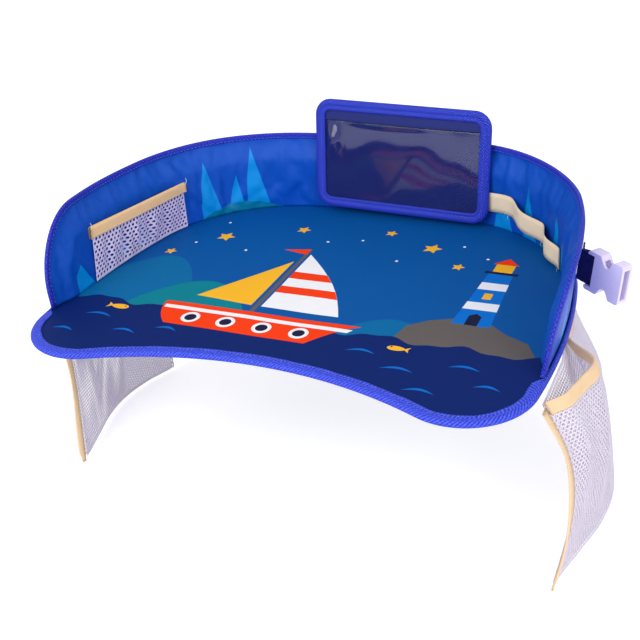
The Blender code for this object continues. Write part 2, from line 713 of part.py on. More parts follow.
def build_pouch():
    """Cloth, board, lining, clear window, the tape round them and the hook strips."""
    frame = add_empty("pouch_frame", pouch_frame())
    cloth = rounded_outline(PANEL_INSET)
    board_low = COVER + FIT_GAP
    lining_low = board_low + POUCH_BOARD + FIT_GAP
    window_low = lining_low + COVER + FIT_GAP
    plate("pouch_back_cover", cloth, 0.0, COVER, "blue_cloth", frame)
    plate("pouch_board", rounded_outline(LAYER_INSET), board_low, board_low + POUCH_BOARD,
          "board", frame)
    plate("pouch_lining", cloth, lining_low, lining_low + COVER, "blue_cloth", frame)

    top = POUCH_HEIGHT - POUCH_MOUTH_DROP
    left = -POUCH_WIDTH / 2 + PANEL_INSET

    def place(i, j):
        x = left - 2 * left * i / WINDOW_COLUMNS
        y = PANEL_INSET + (top - PANEL_INSET) * j / WINDOW_ROWS
        over_x = abs(x) - (POUCH_WIDTH / 2 - POUCH_CORNER)
        over_y = POUCH_CORNER - y
        if over_x > 0 and over_y > 0:
            drawn_in = 1 - max(over_x, over_y) / hypot(over_x, over_y)
            x -= drawn_in * over_x * (1 if x > 0 else -1)
            y += drawn_in * over_y
        across = (abs(left) - abs(x) - POUCH_FLANGE) / (abs(left) - POUCH_FLANGE)
        up = (y - POUCH_FLANGE) / (top - POUCH_FLANGE)
        bow = POUCH_BULGE * sin(pi / 2 * min(max(across, 0.0), 1.0)) * smooth_step(up)
        return Vector((x, y, window_low + POUCH_WINDOW / 2 + bow))

    mesh = grid_mesh("pouch_window", WINDOW_COLUMNS, WINDOW_ROWS, place)
    window = add_object("pouch_window", mesh, "clear_sheet", frame)
    solidify(window, POUCH_WINDOW)

    high = window_low + POUCH_WINDOW + FIT_GAP + TAPE
    low = -FIT_GAP - TAPE
    rings = []
    for point, outward in rounded_stations(POUCH_WIDTH, POUCH_HEIGHT, POUCH_CORNER, POUCH_CORNER_STEPS):
        section = band_section(POUCH_FLANGE, POUCH_FLANGE, high, low)
        rings.append([(*(point - outward * inset), height) for inset, height in section])
    loft("pouch_binding", rings, "blue_tape", cyclic=True, parent=frame)

    for side, name in ((-1, "pouch_hook_strip_left"), (1, "pouch_hook_strip_right")):
        centre = side * (POUCH_WIDTH / 2 - HOOK_FROM_END)
        corners = ((centre - HOOK_WIDTH / 2, HOOK_LIFT), (centre + HOOK_WIDTH / 2, HOOK_LIFT),
                   (centre + HOOK_WIDTH / 2, HOOK_LIFT + HOOK_HEIGHT),
                   (centre - HOOK_WIDTH / 2, HOOK_LIFT + HOOK_HEIGHT))
        plate(name, corners, -FIT_GAP - HOOK_TAPE, -FIT_GAP, "hook_tape", frame)


def build_loop_strips():
    """The soft halves of the pouch's fastening, sewn on the wall."""
    middle = HALF_LENGTH - WALL_FIRST - POUCH_FROM_CENTRE
    for side, name in ((1, "wall_loop_strip_left"), (-1, "wall_loop_strip_right")):
        start = middle + side * (POUCH_WIDTH / 2 - HOOK_FROM_END) - LOOP_WIDTH / 2

        def place(i, j):
            along = start + LOOP_WIDTH * i / LOOP_COLUMN_STEPS
            height = POUCH_LIFT + HOOK_LIFT + HOOK_HEIGHT * j / LOOP_ROW_STEPS
            inset = inner_face(along, height) + FIT_GAP + LOOP_TAPE / 2
            return wall_point(along, height, inset)

        mesh = grid_mesh(name, LOOP_COLUMN_STEPS, LOOP_ROW_STEPS, place)
        strip = add_object(name, mesh, "hook_tape")
        solidify(strip, LOOP_TAPE)


# Side net pockets

def pocket_point(share, level, outer):
    """A point of the right pocket: share from front to back, level from top to bottom."""
    middle = sin(pi * level)
    width = POCKET_LENGTH + POCKET_BOTTOM_GROWTH * level
    y = POCKET_FRONT - FRONT_TO_ORIGIN + width * share
    y += POCKET_SEAM_SWEEP * middle * (1 - share)
    z = pocket_axis_z() - POCKET_DEPTH * level
    half = POCKET_SEAM / 2
    x = pocket_axis_x() + half + POCKET_MESH
    x += POCKET_SEAM_BOW * middle * (1 - share)
    x += POCKET_FLARE * level * smooth_table(POCKET_FLARE_SHARES, share)
    belly = sin(pi * min(max(share, 0.0), 1.0))
    fold = POCKET_FOLD * sin(2 * pi * POCKET_FOLDS * share) * belly * middle
    if not outer:
        return Vector((x - half + fold * POCKET_INNER_FOLD_SHARE, y, z))
    mouth = max(smooth_table(POCKET_MOUTH_SHARES, share), 0.0)
    return Vector((x + half + POCKET_MOUTH * mouth * (1 - smooth_step(level)) + fold, y, z))


def pocket_axis_x():
    """Distance of a pocket's swing line from the middle of the tray."""
    return ARCS[2][2].x + ARCS[2][0]


def pocket_axis_z():
    """Height of a pocket's swing line."""
    return UNDERSIDE - POCKET_DROP


def mirrored(points, side):
    """The points for one side of the tray; side is 1 on the right and -1 on the left."""
    return [Vector((side * point.x, point.y, point.z)) for point in points]


def build_side_pocket(side, word):
    """Net bag, elastic over its mouth and cream tape down its front seam."""
    axis = Vector((side * pocket_axis_x(), 0.0, pocket_axis_z()))
    empty = add_empty("pocket_axis_" + word, Matrix.Translation(axis))
    steps = POCKET_STEPS
    rings = []
    for level in POCKET_LEVEL_SHARES:
        outer = [pocket_point(k / steps, level, True) for k in range(steps + 1)]
        inner = [pocket_point(k / steps, level, False) for k in range(steps + 1)]
        rings.append([p - axis for p in mirrored(outer + inner[::-1], side)])
    bm = bmesh.new()
    rows = [[bm.verts.new(p) for p in ring] for ring in rings]
    count = len(rows[0])
    for first, second in zip(rows, rows[1:]):
        for i in range(count):
            j = (i + 1) % count
            bm.faces.new((first[i], first[j], second[j], second[i]))
    bottom = rows[-1]
    for k in range(steps):
        bm.faces.new((bottom[k], bottom[k + 1], bottom[count - 2 - k], bottom[count - 1 - k]))
    name = "side_pocket_net_" + word
    net = add_object(name, mesh_from(bm, name), "pale_net", empty)
    solidify(net, POCKET_MESH)

    def place_rim(i, across, inward):
        level = (inward - RIM_RISE) / POCKET_DEPTH
        here = pocket_point(i / steps, level, True)
        back = here - pocket_point((i - 1) / steps, level, True)
        ahead = pocket_point((i + 1) / steps, level, True) - here
        if i == 0:
            back = ahead
            here = here.lerp(here + ahead, RIM_END_SHARE)
        if i == steps:
            ahead = back
            here = here.lerp(here - back, RIM_END_SHARE)
        first = Vector((back.y, -back.x, 0.0)).normalized()
        second = Vector((ahead.y, -ahead.x, 0.0)).normalized()
        spot = here + (first + second) * across / (1 + first.dot(second))
        return Vector((side * spot.x, spot.y, spot.z)) - axis

    folded_tape("side_pocket_elastic_" + word, steps + 1, place_rim,
                POCKET_MESH / 2 + FIT_GAP, ELASTIC, RIM_DEPTH, "cream_elastic", empty)

    rings = []
    for level in (STRIP_TOP_SHARE, *POCKET_LEVEL_SHARES[1:], 1 + STRIP_TAIL / POCKET_DEPTH):
        spot = (pocket_point(0.0, level, True) + pocket_point(0.0, level, False)) / 2
        back = spot.y - POCKET_MESH / 2 - FIT_GAP
        ring = []
        for across, inward in ((-1, 0), (1, 0), (1, 1), (-1, 1)):
            point = Vector((spot.x + across * STRIP_THICKNESS / 2, back - inward * STRIP_WIDTH,
                            spot.z))
            ring.append(Vector((side * point.x, point.y, point.z)) - axis)
        rings.append(ring)
    loft("side_pocket_seam_tape_" + word, rings, "cream_elastic", parent=empty)


# Webbing and buckle

def ribbon(name, centre_line, thickness, width, finish, parent):
    """A strip of webbing on edge: its centre line gets a thickness and a height."""
    left, right = [], []
    last = len(centre_line) - 1
    for i, point in enumerate(centre_line):
        before = centre_line[max(i - 1, 0)]
        after = centre_line[min(i + 1, last)]
        first = (point - before).normalized() if i > 0 else (after - point).normalized()
        second = (after - point).normalized() if i < last else first
        along = (first + second).normalized()
        reach = thickness / 2 / max(along.dot(first), 0.5)
        across = Vector((-along.y, along.x)) * reach
        left.append(point + across)
        right.append(point - across)
    return plate(name, left + right[::-1], -width / 2, width / 2, finish, parent)


def wall_frame(place, height, side):
    """A frame on the wall's outer face: x towards the front, z up the wall."""
    along = place if side > 0 else WALL_LENGTH - place
    origin = wall_point(along, height, WALL_INSET)
    front = wall_point(along - side * WEBBING, height, WALL_INSET) - origin
    up = wall_point(along, height + WEBBING, WALL_INSET) - origin
    x = front.normalized()
    z = (up - x * up.dot(x)).normalized()
    y = z.cross(x)
    turn = Matrix((x, y, z)).transposed()
    return Matrix.Translation(origin) @ turn.to_4x4()


def arc_points(centre, radius, start, end, steps):
    """Points on an arc in the plane."""
    return [centre + Vector((cos(a), sin(a))) * radius
            for a in (start + (end - start) * k / steps for k in range(steps + 1))]


BAR_HALF = BUCKLE_BAR / 2
LOOP_RADIUS = hypot(BAR_HALF, BAR_HALF) + FIT_GAP + WEBBING / 2


def webbing_loop(turn, patch, stub):
    """Centre line of a stub sewn to the wall, out to a bar, round it and back."""
    layer = WEBBING + FIT_GAP
    root = Vector((0.0, FIT_GAP + WEBBING / 2))
    heading = Vector((cos(turn), sin(turn)))
    across = Vector((-heading.y, heading.x))
    bar = root + heading * (stub + LOOP_RADIUS) + across * LOOP_RADIUS
    inside = root + Vector((-layer * tan(turn / 2), layer))
    join = inside + heading * layer
    back = join - bar
    start = turn - pi / 2
    end = start + (atan2(back.y, back.x) - acos(LOOP_RADIUS / back.length) - start) % (2 * pi)
    first = [root - Vector((patch, 0.0)), root]
    wrap = arc_points(bar, LOOP_RADIUS, start, end, LOOP_STEPS)
    return first + wrap + [join, inside, inside - Vector((patch / 2, 0.0))], bar


def buckle_outline():
    """The socket's outline: a wide bar end, a waist with round sides, a wide mouth."""
    half_bar = BUCKLE_BAR_WIDTH / 2
    half_mouth = BUCKLE_MOUTH_WIDTH / 2
    half_waist = BUCKLE_WAIST_WIDTH / 2
    start = -BAR_HALF
    end = BUCKLE_LENGTH - BAR_HALF
    shoulder = start + BUCKLE_LENGTH * BUCKLE_SHOULDER_SHARE
    lip = start + BUCKLE_LENGTH * BUCKLE_LIP_SHARE
    upper = arc_points(Vector((start + BUCKLE_CORNER, half_bar - BUCKLE_CORNER)), BUCKLE_CORNER,
                       pi, pi / 2, CORNER_STEPS)
    waist = []
    for k in range(WAIST_STEPS + 1):
        share = k / WAIST_STEPS
        dip = abs(sin(pi * share)) ** BUCKLE_WAIST_POWER
        level = half_bar + (half_mouth - half_bar) * share
        waist.append(Vector((shoulder + (lip - shoulder) * share,
                             level - (level - half_waist) * dip)))
    mouth = arc_points(Vector((end - BUCKLE_CORNER, half_mouth - BUCKLE_CORNER)), BUCKLE_CORNER,
                       pi / 2, 0.0, CORNER_STEPS)
    side = upper + waist + mouth
    return side + [Vector((p.x, -p.y)) for p in side[::-1]]


def as_mesh_object(piece):
    """Swap a curve piece for the mesh it makes, so that it can be cut."""
    graph = bpy.context.evaluated_depsgraph_get()
    mesh = bpy.data.meshes.new_from_object(piece.evaluated_get(graph))
    bm = bmesh.new()
    bm.from_mesh(mesh)
    bmesh.ops.remove_doubles(bm, verts=bm.verts, dist=FIT_GAP / 100)
    bmesh.ops.recalc_face_normals(bm, faces=bm.faces)
    bm.to_mesh(mesh)
    bm.free()
    name, parent, basis = piece.name, piece.parent, piece.matrix_local.copy()
    bpy.data.objects.remove(piece, do_unlink=True)
    solid = bpy.data.objects.new(name, mesh)
    PARTS.objects.link(solid)
    solid.parent = parent
    solid.matrix_local = basis
    return solid


def box_cutter(name, low, high, parent):
    """A box that a Boolean takes away."""
    bm = bmesh.new()
    bmesh.ops.create_cube(bm, size=1)
    for vert in bm.verts:
        for axis in range(3):
            vert.co[axis] = low[axis] if vert.co[axis] < 0 else high[axis]
    mesh = bpy.data.meshes.new(name)
    bm.to_mesh(mesh)
    bm.free()
    cutter = bpy.data.objects.new(name, mesh)
    CUTTERS.objects.link(cutter)
    cutter.parent = parent
    cutter.hide_render = True
    cutter.display_type = "WIRE"
    return cutter


def cut(piece, cutter):
    """Take a cutter's shape out of a piece."""
    boolean = piece.modifiers.new(cutter.name, "BOOLEAN")
    boolean.operation = "DIFFERENCE"
    boolean.solver = "EXACT"
    boolean.object = cutter


def cut_bar(body, flat, half_thick, word):
    """Open the slot behind a buckle's bar and free the bar's front and rear for the webbing."""
    slot_half = WEBBING_WIDTH / 2 + FIT_GAP
    slot_end = BAR_HALF + BUCKLE_SLOT
    clear = half_thick + OVERRUN
    cut(body, box_cutter(word + "_slot_cutter", (BAR_HALF, -slot_half, -clear),
                         (slot_end, slot_half, clear), flat))
    for end, low, high in (("front", BAR_HALF, clear), ("rear", -clear, -BAR_HALF)):
        cut(body, box_cutter(word + "_relief_cutter_" + end,
                             (-BAR_HALF - OVERRUN, -slot_half, low),
                             (BAR_HALF + BUCKLE_SLOT / 2, slot_half, high), flat))


def soften(body, width):
    """Round the edges of a moulding."""
    edges = body.modifiers.new("soft_edges", "BEVEL")
    edges.width = width
    edges.segments = EDGE_STEPS
    edges.limit_method = "ANGLE"


def build_socket_buckle(frame, turn, bar):
    """The socket half: bar and slot for the webbing, waist windows and an open mouth."""
    placed = Matrix.Translation((bar.x, bar.y, 0.0)) @ Matrix.Rotation(turn, 4, "Z")
    axis = add_empty("buckle_axis", placed, frame)
    flat = add_empty("buckle_flat", Matrix.Rotation(pi / 2, 4, "X"), axis)
    half = BUCKLE_THICK / 2
    body = as_mesh_object(plate("female_buckle", buckle_outline(), -half, half,
                                "pale_plastic", flat))
    soften(body, BUCKLE_EDGE)
    cut_bar(body, flat, half, "socket")
    end = BUCKLE_LENGTH - BAR_HALF
    low = (end - BUCKLE_THROAT_DEPTH, -BUCKLE_THROAT_WIDTH / 2, -BUCKLE_THROAT_HEIGHT / 2)
    high = (end + OVERRUN, BUCKLE_THROAT_WIDTH / 2, BUCKLE_THROAT_HEIGHT / 2)
    cut(body, box_cutter("throat_cutter", low, high, flat))


def build_right_strap():
    """The short webbing loop on the right wall, and the socket half of the buckle."""
    frame = add_empty("right_strap_frame", wall_frame(RIGHT_STRAP_PLACE, RIGHT_STRAP_HEIGHT, 1))
    line, bar = webbing_loop(WEBBING_TURN, WEBBING_PATCH, WEBBING_STUB)
    ribbon("buckle_webbing_right", line, WEBBING, WEBBING_WIDTH, "navy_webbing", frame)
    build_socket_buckle(frame, WEBBING_TURN, bar)


def outward_left(points):
    """Turn (along, away from the wall) into the left strap's frame, whose y points inwards."""
    return [Vector((along, -away)) for along, away in points]


def strap_line():
    """Centre line of the folded strap: sewn root, runs to and fro, and the end round the bar."""
    pitch = WEBBING + STRAP_FOLD_GAP
    first = FIT_GAP + WEBBING / 2
    front = STRAP_RUN * STRAP_FRONT_SHARE
    rear = front - STRAP_RUN
    points = [Vector((front - WEBBING_PATCH - WEBBING_WIDTH / 2, first))]
    for run in range(STRAP_RUNS - 1):
        away = first + pitch * run
        end, spin = (front, -1) if run % 2 == 0 else (rear, 1)
        centre = Vector((end, away + pitch / 2))
        points += arc_points(centre, pitch / 2, -pi / 2, -pi / 2 - spin * pi, CORNER_STEPS)
    away = first + pitch * (STRAP_RUNS - 1)
    bar = Vector((rear - STRAP_END, away + LOOP_RADIUS))
    points += arc_points(bar, LOOP_RADIUS, -pi / 2, -3 * pi / 2, LOOP_STEPS)
    points.append(Vector((bar.x + STRAP_TAIL, bar.y + LOOP_RADIUS)))
    return points, bar


def plug_outline():
    """The plug's base block with its guide tongue, from the bar end to the tip."""
    half = PLUG_BASE_WIDTH / 2
    start, end = -BAR_HALF, PLUG_BASE_LENGTH - BAR_HALF
    tip = end + PLUG_REACH
    guide = PLUG_GUIDE_WIDTH / 2
    side = arc_points(Vector((start + BUCKLE_CORNER, half - BUCKLE_CORNER)), BUCKLE_CORNER,
                      pi, pi / 2, CORNER_STEPS)
    side += arc_points(Vector((end - BUCKLE_CORNER, half - BUCKLE_CORNER)), BUCKLE_CORNER,
                       pi / 2, 0.0, CORNER_STEPS)
    side += [Vector((end, guide)), Vector((tip - guide, guide)), Vector((tip, guide / 2))]
    return side + [Vector((p.x, -p.y)) for p in side[::-1]]


def arm_outline(side):
    """A latch arm from its root at x = 0: a straight arm with a hooked barb at its tip."""
    half = PLUG_ARM_WIDTH / 2
    heel = PLUG_REACH - PLUG_BARB_LENGTH
    shape = ((0.0, -half), (PLUG_REACH, -half), (PLUG_REACH, 0.0),
             (PLUG_REACH - PLUG_BARB_SLOPE, half + PLUG_BARB), (heel, half + PLUG_BARB),
             (heel, half), (0.0, half))
    points = [Vector((x, side * y)) for x, y in shape]
    return points if side > 0 else points[::-1]


def build_left_strap():
    """The long strap, folded and held flat by its keeper, and the plug half of the buckle."""
    frame = add_empty("left_strap_frame", wall_frame(LEFT_STRAP_PLACE, LEFT_STRAP_HEIGHT, -1))
    line, bar = strap_line()
    ribbon("strap_webbing_left", outward_left(line), WEBBING, WEBBING_WIDTH, "navy_webbing", frame)

    middle = STRAP_RUN * (STRAP_FRONT_SHARE - KEEPER_PLACE_SHARE)
    near = FIT_GAP
    far = FIT_GAP * 2 + ELASTIC + (WEBBING + STRAP_FOLD_GAP) * STRAP_RUNS
    high = WEBBING_WIDTH / 2 + FIT_GAP + ELASTIC
    outer = ((near, -high), (far, -high), (far, high), (near, high))
    inner = ((near + ELASTIC, ELASTIC - high), (far - ELASTIC, ELASTIC - high),
             (far - ELASTIC, high - ELASTIC), (near + ELASTIC, high - ELASTIC))
    turn = Matrix(((0.0, 0.0, 1.0), (-1.0, 0.0, 0.0), (0.0, 1.0, 0.0))).to_4x4()
    keeper = add_empty("keeper_frame", Matrix.Translation((middle, 0.0, 0.0)) @ turn, frame)
    plate("strap_keeper", outer, -KEEPER_WIDTH / 2, KEEPER_WIDTH / 2, "navy_webbing", keeper, inner)

    placed = Matrix.Translation((bar.x, -bar.y, 0.0)) @ Matrix.Rotation(pi, 4, "Z")
    axis = add_empty("plug_axis", placed, frame)
    flat = add_empty("plug_flat", Matrix.Rotation(pi / 2, 4, "X"), axis)
    half = PLUG_THICK / 2
    body = as_mesh_object(plate("male_buckle", plug_outline(), -half, half, "pale_plastic", flat))
    soften(body, PLUG_EDGE)
    cut_bar(body, flat, half, "plug")
    root = PLUG_BASE_LENGTH - BAR_HALF + FIT_GAP
    for side, word in ((1, "upper"), (-1, "lower")):
        place = Matrix.Translation((root, side * PLUG_ARM_PLACE, 0.0))
        pivot = add_empty("latch_axis_" + word, place, flat)
        arm = as_mesh_object(plate("latch_arm_" + word, arm_outline(side), -PLUG_ARM_THICK / 2,
                                   PLUG_ARM_THICK / 2, "pale_plastic", pivot))
        soften(arm, PLUG_EDGE)


build_tray()
build_wall()
build_inner_pocket()
build_pencil_band()
build_pouch()
build_loop_strips()
build_side_pocket(1, "right")
build_side_pocket(-1, "left")
build_right_strap()
build_left_strap()
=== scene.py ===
"""Looks of a car seat tray table: cloth, padding, tapes, nets, print, buckle, camera and light.

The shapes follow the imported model. Lengths are in metres, and a print is drawn in millimetres.
"""

from math import acos, atan2, ceil, cos, hypot, pi, radians, sin, tan

import bpy
import numpy as np
from mathutils import Matrix, Vector
from mathutils.geometry import delaunay_2d_cdt


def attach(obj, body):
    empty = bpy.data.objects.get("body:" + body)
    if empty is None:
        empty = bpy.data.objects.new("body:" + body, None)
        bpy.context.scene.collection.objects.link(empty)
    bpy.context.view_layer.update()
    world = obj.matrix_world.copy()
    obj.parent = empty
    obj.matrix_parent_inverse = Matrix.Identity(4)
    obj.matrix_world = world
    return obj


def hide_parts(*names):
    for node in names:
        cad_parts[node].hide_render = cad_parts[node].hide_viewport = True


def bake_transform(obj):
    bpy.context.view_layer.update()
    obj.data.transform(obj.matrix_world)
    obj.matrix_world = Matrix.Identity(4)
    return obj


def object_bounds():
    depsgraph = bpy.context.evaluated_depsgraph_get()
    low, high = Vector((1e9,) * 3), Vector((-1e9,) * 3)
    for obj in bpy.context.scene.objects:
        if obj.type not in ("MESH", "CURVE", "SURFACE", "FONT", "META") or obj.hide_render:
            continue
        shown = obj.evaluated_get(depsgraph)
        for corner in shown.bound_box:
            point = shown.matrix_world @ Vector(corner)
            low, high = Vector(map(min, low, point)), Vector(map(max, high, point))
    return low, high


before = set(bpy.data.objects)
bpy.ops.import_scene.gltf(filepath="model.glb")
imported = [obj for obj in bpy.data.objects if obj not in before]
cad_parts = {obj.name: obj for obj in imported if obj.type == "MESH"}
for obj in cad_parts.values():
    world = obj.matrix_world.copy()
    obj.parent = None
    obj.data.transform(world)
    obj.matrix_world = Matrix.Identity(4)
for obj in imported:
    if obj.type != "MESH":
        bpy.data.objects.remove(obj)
CAD_BOX = [list(corner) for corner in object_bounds()]
MM = 0.001

# Tray outline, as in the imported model
FRONT_RADIUS = 0.333
FRONT_TURN = radians(-23.8)
LOBE_RADIUS = 0.052
LOBE_TURN = radians(108.4)
SIDE_RADIUS = 0.567
SIDE_TURN = radians(16.6)
CORNER_RADIUS = 0.137
CORNER_TURN = radians(71.0)
FRONT_TO_ORIGIN = 0.130

FIT_GAP = 0.0003
COVER = 0.0005
TAPE = 0.0006
ELASTIC = 0.0007
BOARD = 0.0012
TRAY_FOAM = 0.0016
BINDING_FLANGE = 0.009
BINDING_BESIDE_WALL = 0.0031
FLANGE_NARROWING = 0.008
UNDERSIDE_STEP_START = 0.0093
UNDERSIDE_STEP = 0.0007
TRAY_TOP = COVER + FIT_GAP + BOARD + FIT_GAP + TRAY_FOAM + FIT_GAP + COVER
FLANGE_TOP = TRAY_TOP + FIT_GAP + TAPE
WALL_BASE = TRAY_TOP + FIT_GAP
PANEL_INSET = TAPE + FIT_GAP

# Wall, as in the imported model
WALL_HEIGHT = 0.073
WALL_END_RADIUS = 0.060
WALL_INSET = 0.0039
WALL_SETBACK_RIGHT = 0.022
WALL_SETBACK_LEFT = 0.013
WALL_FOAM = 0.0040
WALL_LAYER_GAP = 0.0005
FOAM_CLEARANCE = 0.0010
WALL_LEAN = 0.012
WALL_LEAN_SHARES = (1.0, 0.67, -0.08, -0.08, -0.33, -0.42, 0.33, 0.75, 0.17)
WALL_TAPE_DEPTH = 0.009
PAD_START = 0.0135
PAD_RISE = 0.014
INNER_TAPE_DEPTH = 0.0043
CLOTH_START = 0.0049
CLOTH_RISE = 0.021
WALL_FOAM_MARGIN = 0.0255
FOAM_LAG = 0.003
WALL_MIDDLE_STEPS = 33
WALL_FOAM_FACE = WALL_INSET + COVER + WALL_LAYER_GAP + BOARD + WALL_LAYER_GAP
WALL_PINCHED = WALL_INSET + COVER + FIT_GAP
PAD_DEPTH = WALL_FOAM_FACE + WALL_FOAM + FOAM_CLEARANCE - WALL_PINCHED
WALL_INNER_FACE = WALL_PINCHED + PAD_DEPTH + COVER
WALL_SEAM = WALL_INSET + COVER + FIT_GAP / 2

# Inner net pocket and pencil band
NET_NEAR_TOP = 0.065
NET_FAR_TOP = 0.187
NET_NEAR_FOOT = 0.053
NET_FAR_FOOT = 0.184
NET_TOP_NEAR_HEIGHT = 0.046
NET_TOP_FAR_HEIGHT = 0.042
NET_FOOT_HEIGHT = 0.001
NET_CORD = 0.0010
NET_STAND_OFF = 0.0022
NET_FOLD = 0.0030
NET_FOLDS = 5
NET_FINE_FOLDS = 11
NET_COLUMNS = 28
NET_ROWS = 13
NET_TAPE_DEPTH = 0.009
NET_TAUT_SHARE = 0.78
NET_TAPE_OVERHANG = 0.0025
NET_HOLE = 0.56
PENCIL_WIDTH = 0.018
PENCIL_END = 0.303
PENCIL_TACKS = (0.166, 0.214, 0.266)
PENCIL_HEIGHTS = (0.0115, 0.0165, 0.0255, 0.0235)
PENCIL_BULGES = (0.0065, 0.0070, 0.0004)
PENCIL_STEPS = 22

# Phone pouch
POUCH_WIDTH = 0.168
POUCH_HEIGHT = 0.102
POUCH_CORNER = 0.0155
POUCH_FROM_CENTRE = 0.018
POUCH_STAND_OFF = 0.0143
POUCH_LIFT = 0.0055
POUCH_LEAN = radians(6.0)
POUCH_ROLL = radians(1.2)
POUCH_YAW = radians(0.35)
POUCH_BOARD = 0.0012
POUCH_FLANGE = 0.010
POUCH_WINDOW = 0.0004
POUCH_MOUTH_DROP = 0.0185
POUCH_BULGE = 0.007
POUCH_GROOVE = 0.0006
TAPE_GROOVE_SHARE = 0.62
POUCH_BOW_SHARE = 0.45
FILM_CURL = 0.0042
FILM_CURL_REACH = 0.17
FILM_CURL_FADE = 0.06
FILM_CURL_START = 0.5
FILM_CURL_PEAK = 0.76
FILM_CURL_RUN = 0.24
FILM_LIP = 0.0005
FILM_LIP_START = 0.93
FILM_WRINKLE = 0.00012
FILM_FINE_WRINKLE = 0.00008
HOOK_WIDTH = 0.018
HOOK_HEIGHT = 0.028
HOOK_TAPE = 0.0016
HOOK_FROM_END = 0.026
HOOK_LIFT = 0.0105
LOOP_TAPE = 0.0010
LOOP_WIDTH = 0.022

# Side net pockets
POCKET_DEPTH = 0.155
POCKET_FRONT = 0.012
POCKET_LENGTH = 0.165
POCKET_MOUTH = 0.0205
POCKET_MESH = 0.0007
POCKET_HOLE = 0.68
POCKET_NET_THICKNESS = 0.0004
POCKET_FLARE = 0.031
POCKET_FLARE_SHARES = (0.34, 0.62, 0.91, 1.0, 0.82, 0.45)
POCKET_MOUTH_SHARES = (0.0, 0.46, 0.66, 0.82, 0.98, 0.94, 0.34, 0.04, 0.02, 0.02, 0.02, 0.01, 0.0)
POCKET_SEAM_BOW = 0.013
POCKET_SEAM_SWEEP = 0.019
POCKET_BOTTOM_GROWTH = 0.020
POCKET_SEAM = 0.0022
POCKET_FOLD = 0.0016
POCKET_INNER_FOLD_SHARE = 0.4
POCKET_FOLDS = 4
POCKET_AXIS_Z = -0.0003
POCKET_TUCK = 0.008
POCKET_TUCK_RUN = 0.05
POCKET_TUCK_LEVEL = 0.5
POCKET_LEFT_MOUTH = 0.3
POCKET_LEFT_BACK = 0.024
POCKET_LEFT_IN = 0.0075
POCKET_COLUMNS = 50
POCKET_ROWS = 50
RIM_DEPTH = 0.010
RIM_RISE = 0.001
STRIP_WIDTH = 0.007
STRIP_THICKNESS = 0.0014
STRIP_TAIL = 0.003
STRIP_TOP_SHARE = 0.02
STRIP_CURL = 0.0012
STRIP_NARROWS = 0.45
STRIP_NARROWS_FROM = 0.93

# Webbing and the folded strap
WEBBING = 0.0014
WEBBING_WIDTH = 0.025
WEBBING_PATCH = 0.022
WEBBING_STUB = 0.0075
WEBBING_TURN = radians(50.0)
BOX_HALF_SHARE = 0.38
BOX_START_SHARE = 0.48
BOX_LENGTH_SHARE = 0.4
RIGHT_STRAP_PLACE = 0.100
RIGHT_STRAP_HEIGHT = 0.040
BUCKLE_BAR = 0.0024
LEFT_STRAP_PLACE = 0.100
LEFT_STRAP_HEIGHT = 0.034
STRAP_RUN = 0.105
STRAP_RUNS = 8
STRAP_FRONT_SHARE = 0.25
STRAP_END = 0.001
STRAP_FOLD_GAP = 0.0005
STRAP_TAIL = 0.024
KEEPER_WIDTH = 0.012
KEEPER_PLACE_SHARE = 0.5
KEEPER_CORNER = 0.001
LOOP_RADIUS = hypot(BUCKLE_BAR / 2, BUCKLE_BAR / 2) + FIT_GAP + WEBBING / 2

# Swell of the tray's padded top
TOP_SWELL_START = 0.018
TOP_SWELL_RISE = 0.03
TOP_SWELL = 0.0004
TOP_WAVE = 0.0002
TOP_RIPPLE = 0.00012
TRAY_PADDING_INSET = 0.004

# Ripples of the wall's inner cloth
RIPPLE_COLUMNS = 220
RIPPLE_ROWS = 20
RIPPLE_LOW = -0.0009
RIPPLE_HIGH = 0.0024
RIPPLE_SHARE = 0.9
RIPPLE_BROAD_SHARE = 0.2
RIPPLE_WINDOW = 13
RIPPLE_NET_SHARE = 0.5
RIPPLE_BAND_SHARE = 0.6
RIPPLE_CONTACT = 0.0011
POUCH_QUIET_HALF = 0.075
POUCH_QUIET_FADE = 0.02
RIPPLE_FRICTION = 4.0
RIPPLE_FRAMES = 25
RIPPLE_CLOTH = {"quality": 8, "mass": 0.1, "tension_stiffness": 20, "compression_stiffness": 20,
                "shear_stiffness": 8, "bending_stiffness": 0.05, "air_damping": 2.0,
                "use_pressure": True, "uniform_pressure_force": 0.35, "shrink_min": -0.035}

# Folds seen in the photo: place and height of both ends, rise and half width, in millimetres
CREASES = ((268, 66, 262, 18, 1.3, 8), (236, 67, 236, 30, 1.4, 8), (206, 68, 198, 38, 1.3, 8),
           (172, 66, 184, 34, 1.3, 8), (140, 64, 132, 28, 1.3, 8), (252, 66, 249, 34, -1.1, 6),
           (221, 66, 227, 28, -1.1, 6), (190, 66, 184, 44, -1.1, 6), (156, 66, 150, 36, -1.1, 6),
           (124, 62, 116, 26, -1.1, 6), (628, 68, 609, 42, 1.6, 6), (606, 36, 572, 2, 1.8, 7),
           (574, 4, 571, 42, 1.2, 6), (552, 3, 520, 16, 1.2, 6), (662, 68, 655, 50, 1.0, 6),
           (645, 68, 641, 52, 1.0, 5), (698, 65, 688, 46, 1.0, 7), (618, 68, 603, 40, -1.2, 5),
           (594, 28, 566, 0, -1.3, 6), (566, 6, 546, 36, -1.2, 6), (653, 68, 648, 52, -1.0, 4),
           (636, 68, 626, 50, -1.0, 4), (522, 62, 534, 24, -1.0, 8), (498, 64, 506, 26, 1.1, 9),
           (58, 40, 52, 10, 1.1, 8), (88, 58, 82, 20, 1.1, 8), (74, 52, 66, 14, -1.0, 6))
CREASE_OVERRUN = 0.25
CREASE_START_FADE = 0.45
CREASE_END_FADE = 0.6
CREASE_TAPE_FADE = 0.004
CREASE_FOOT_FADE = 0.005

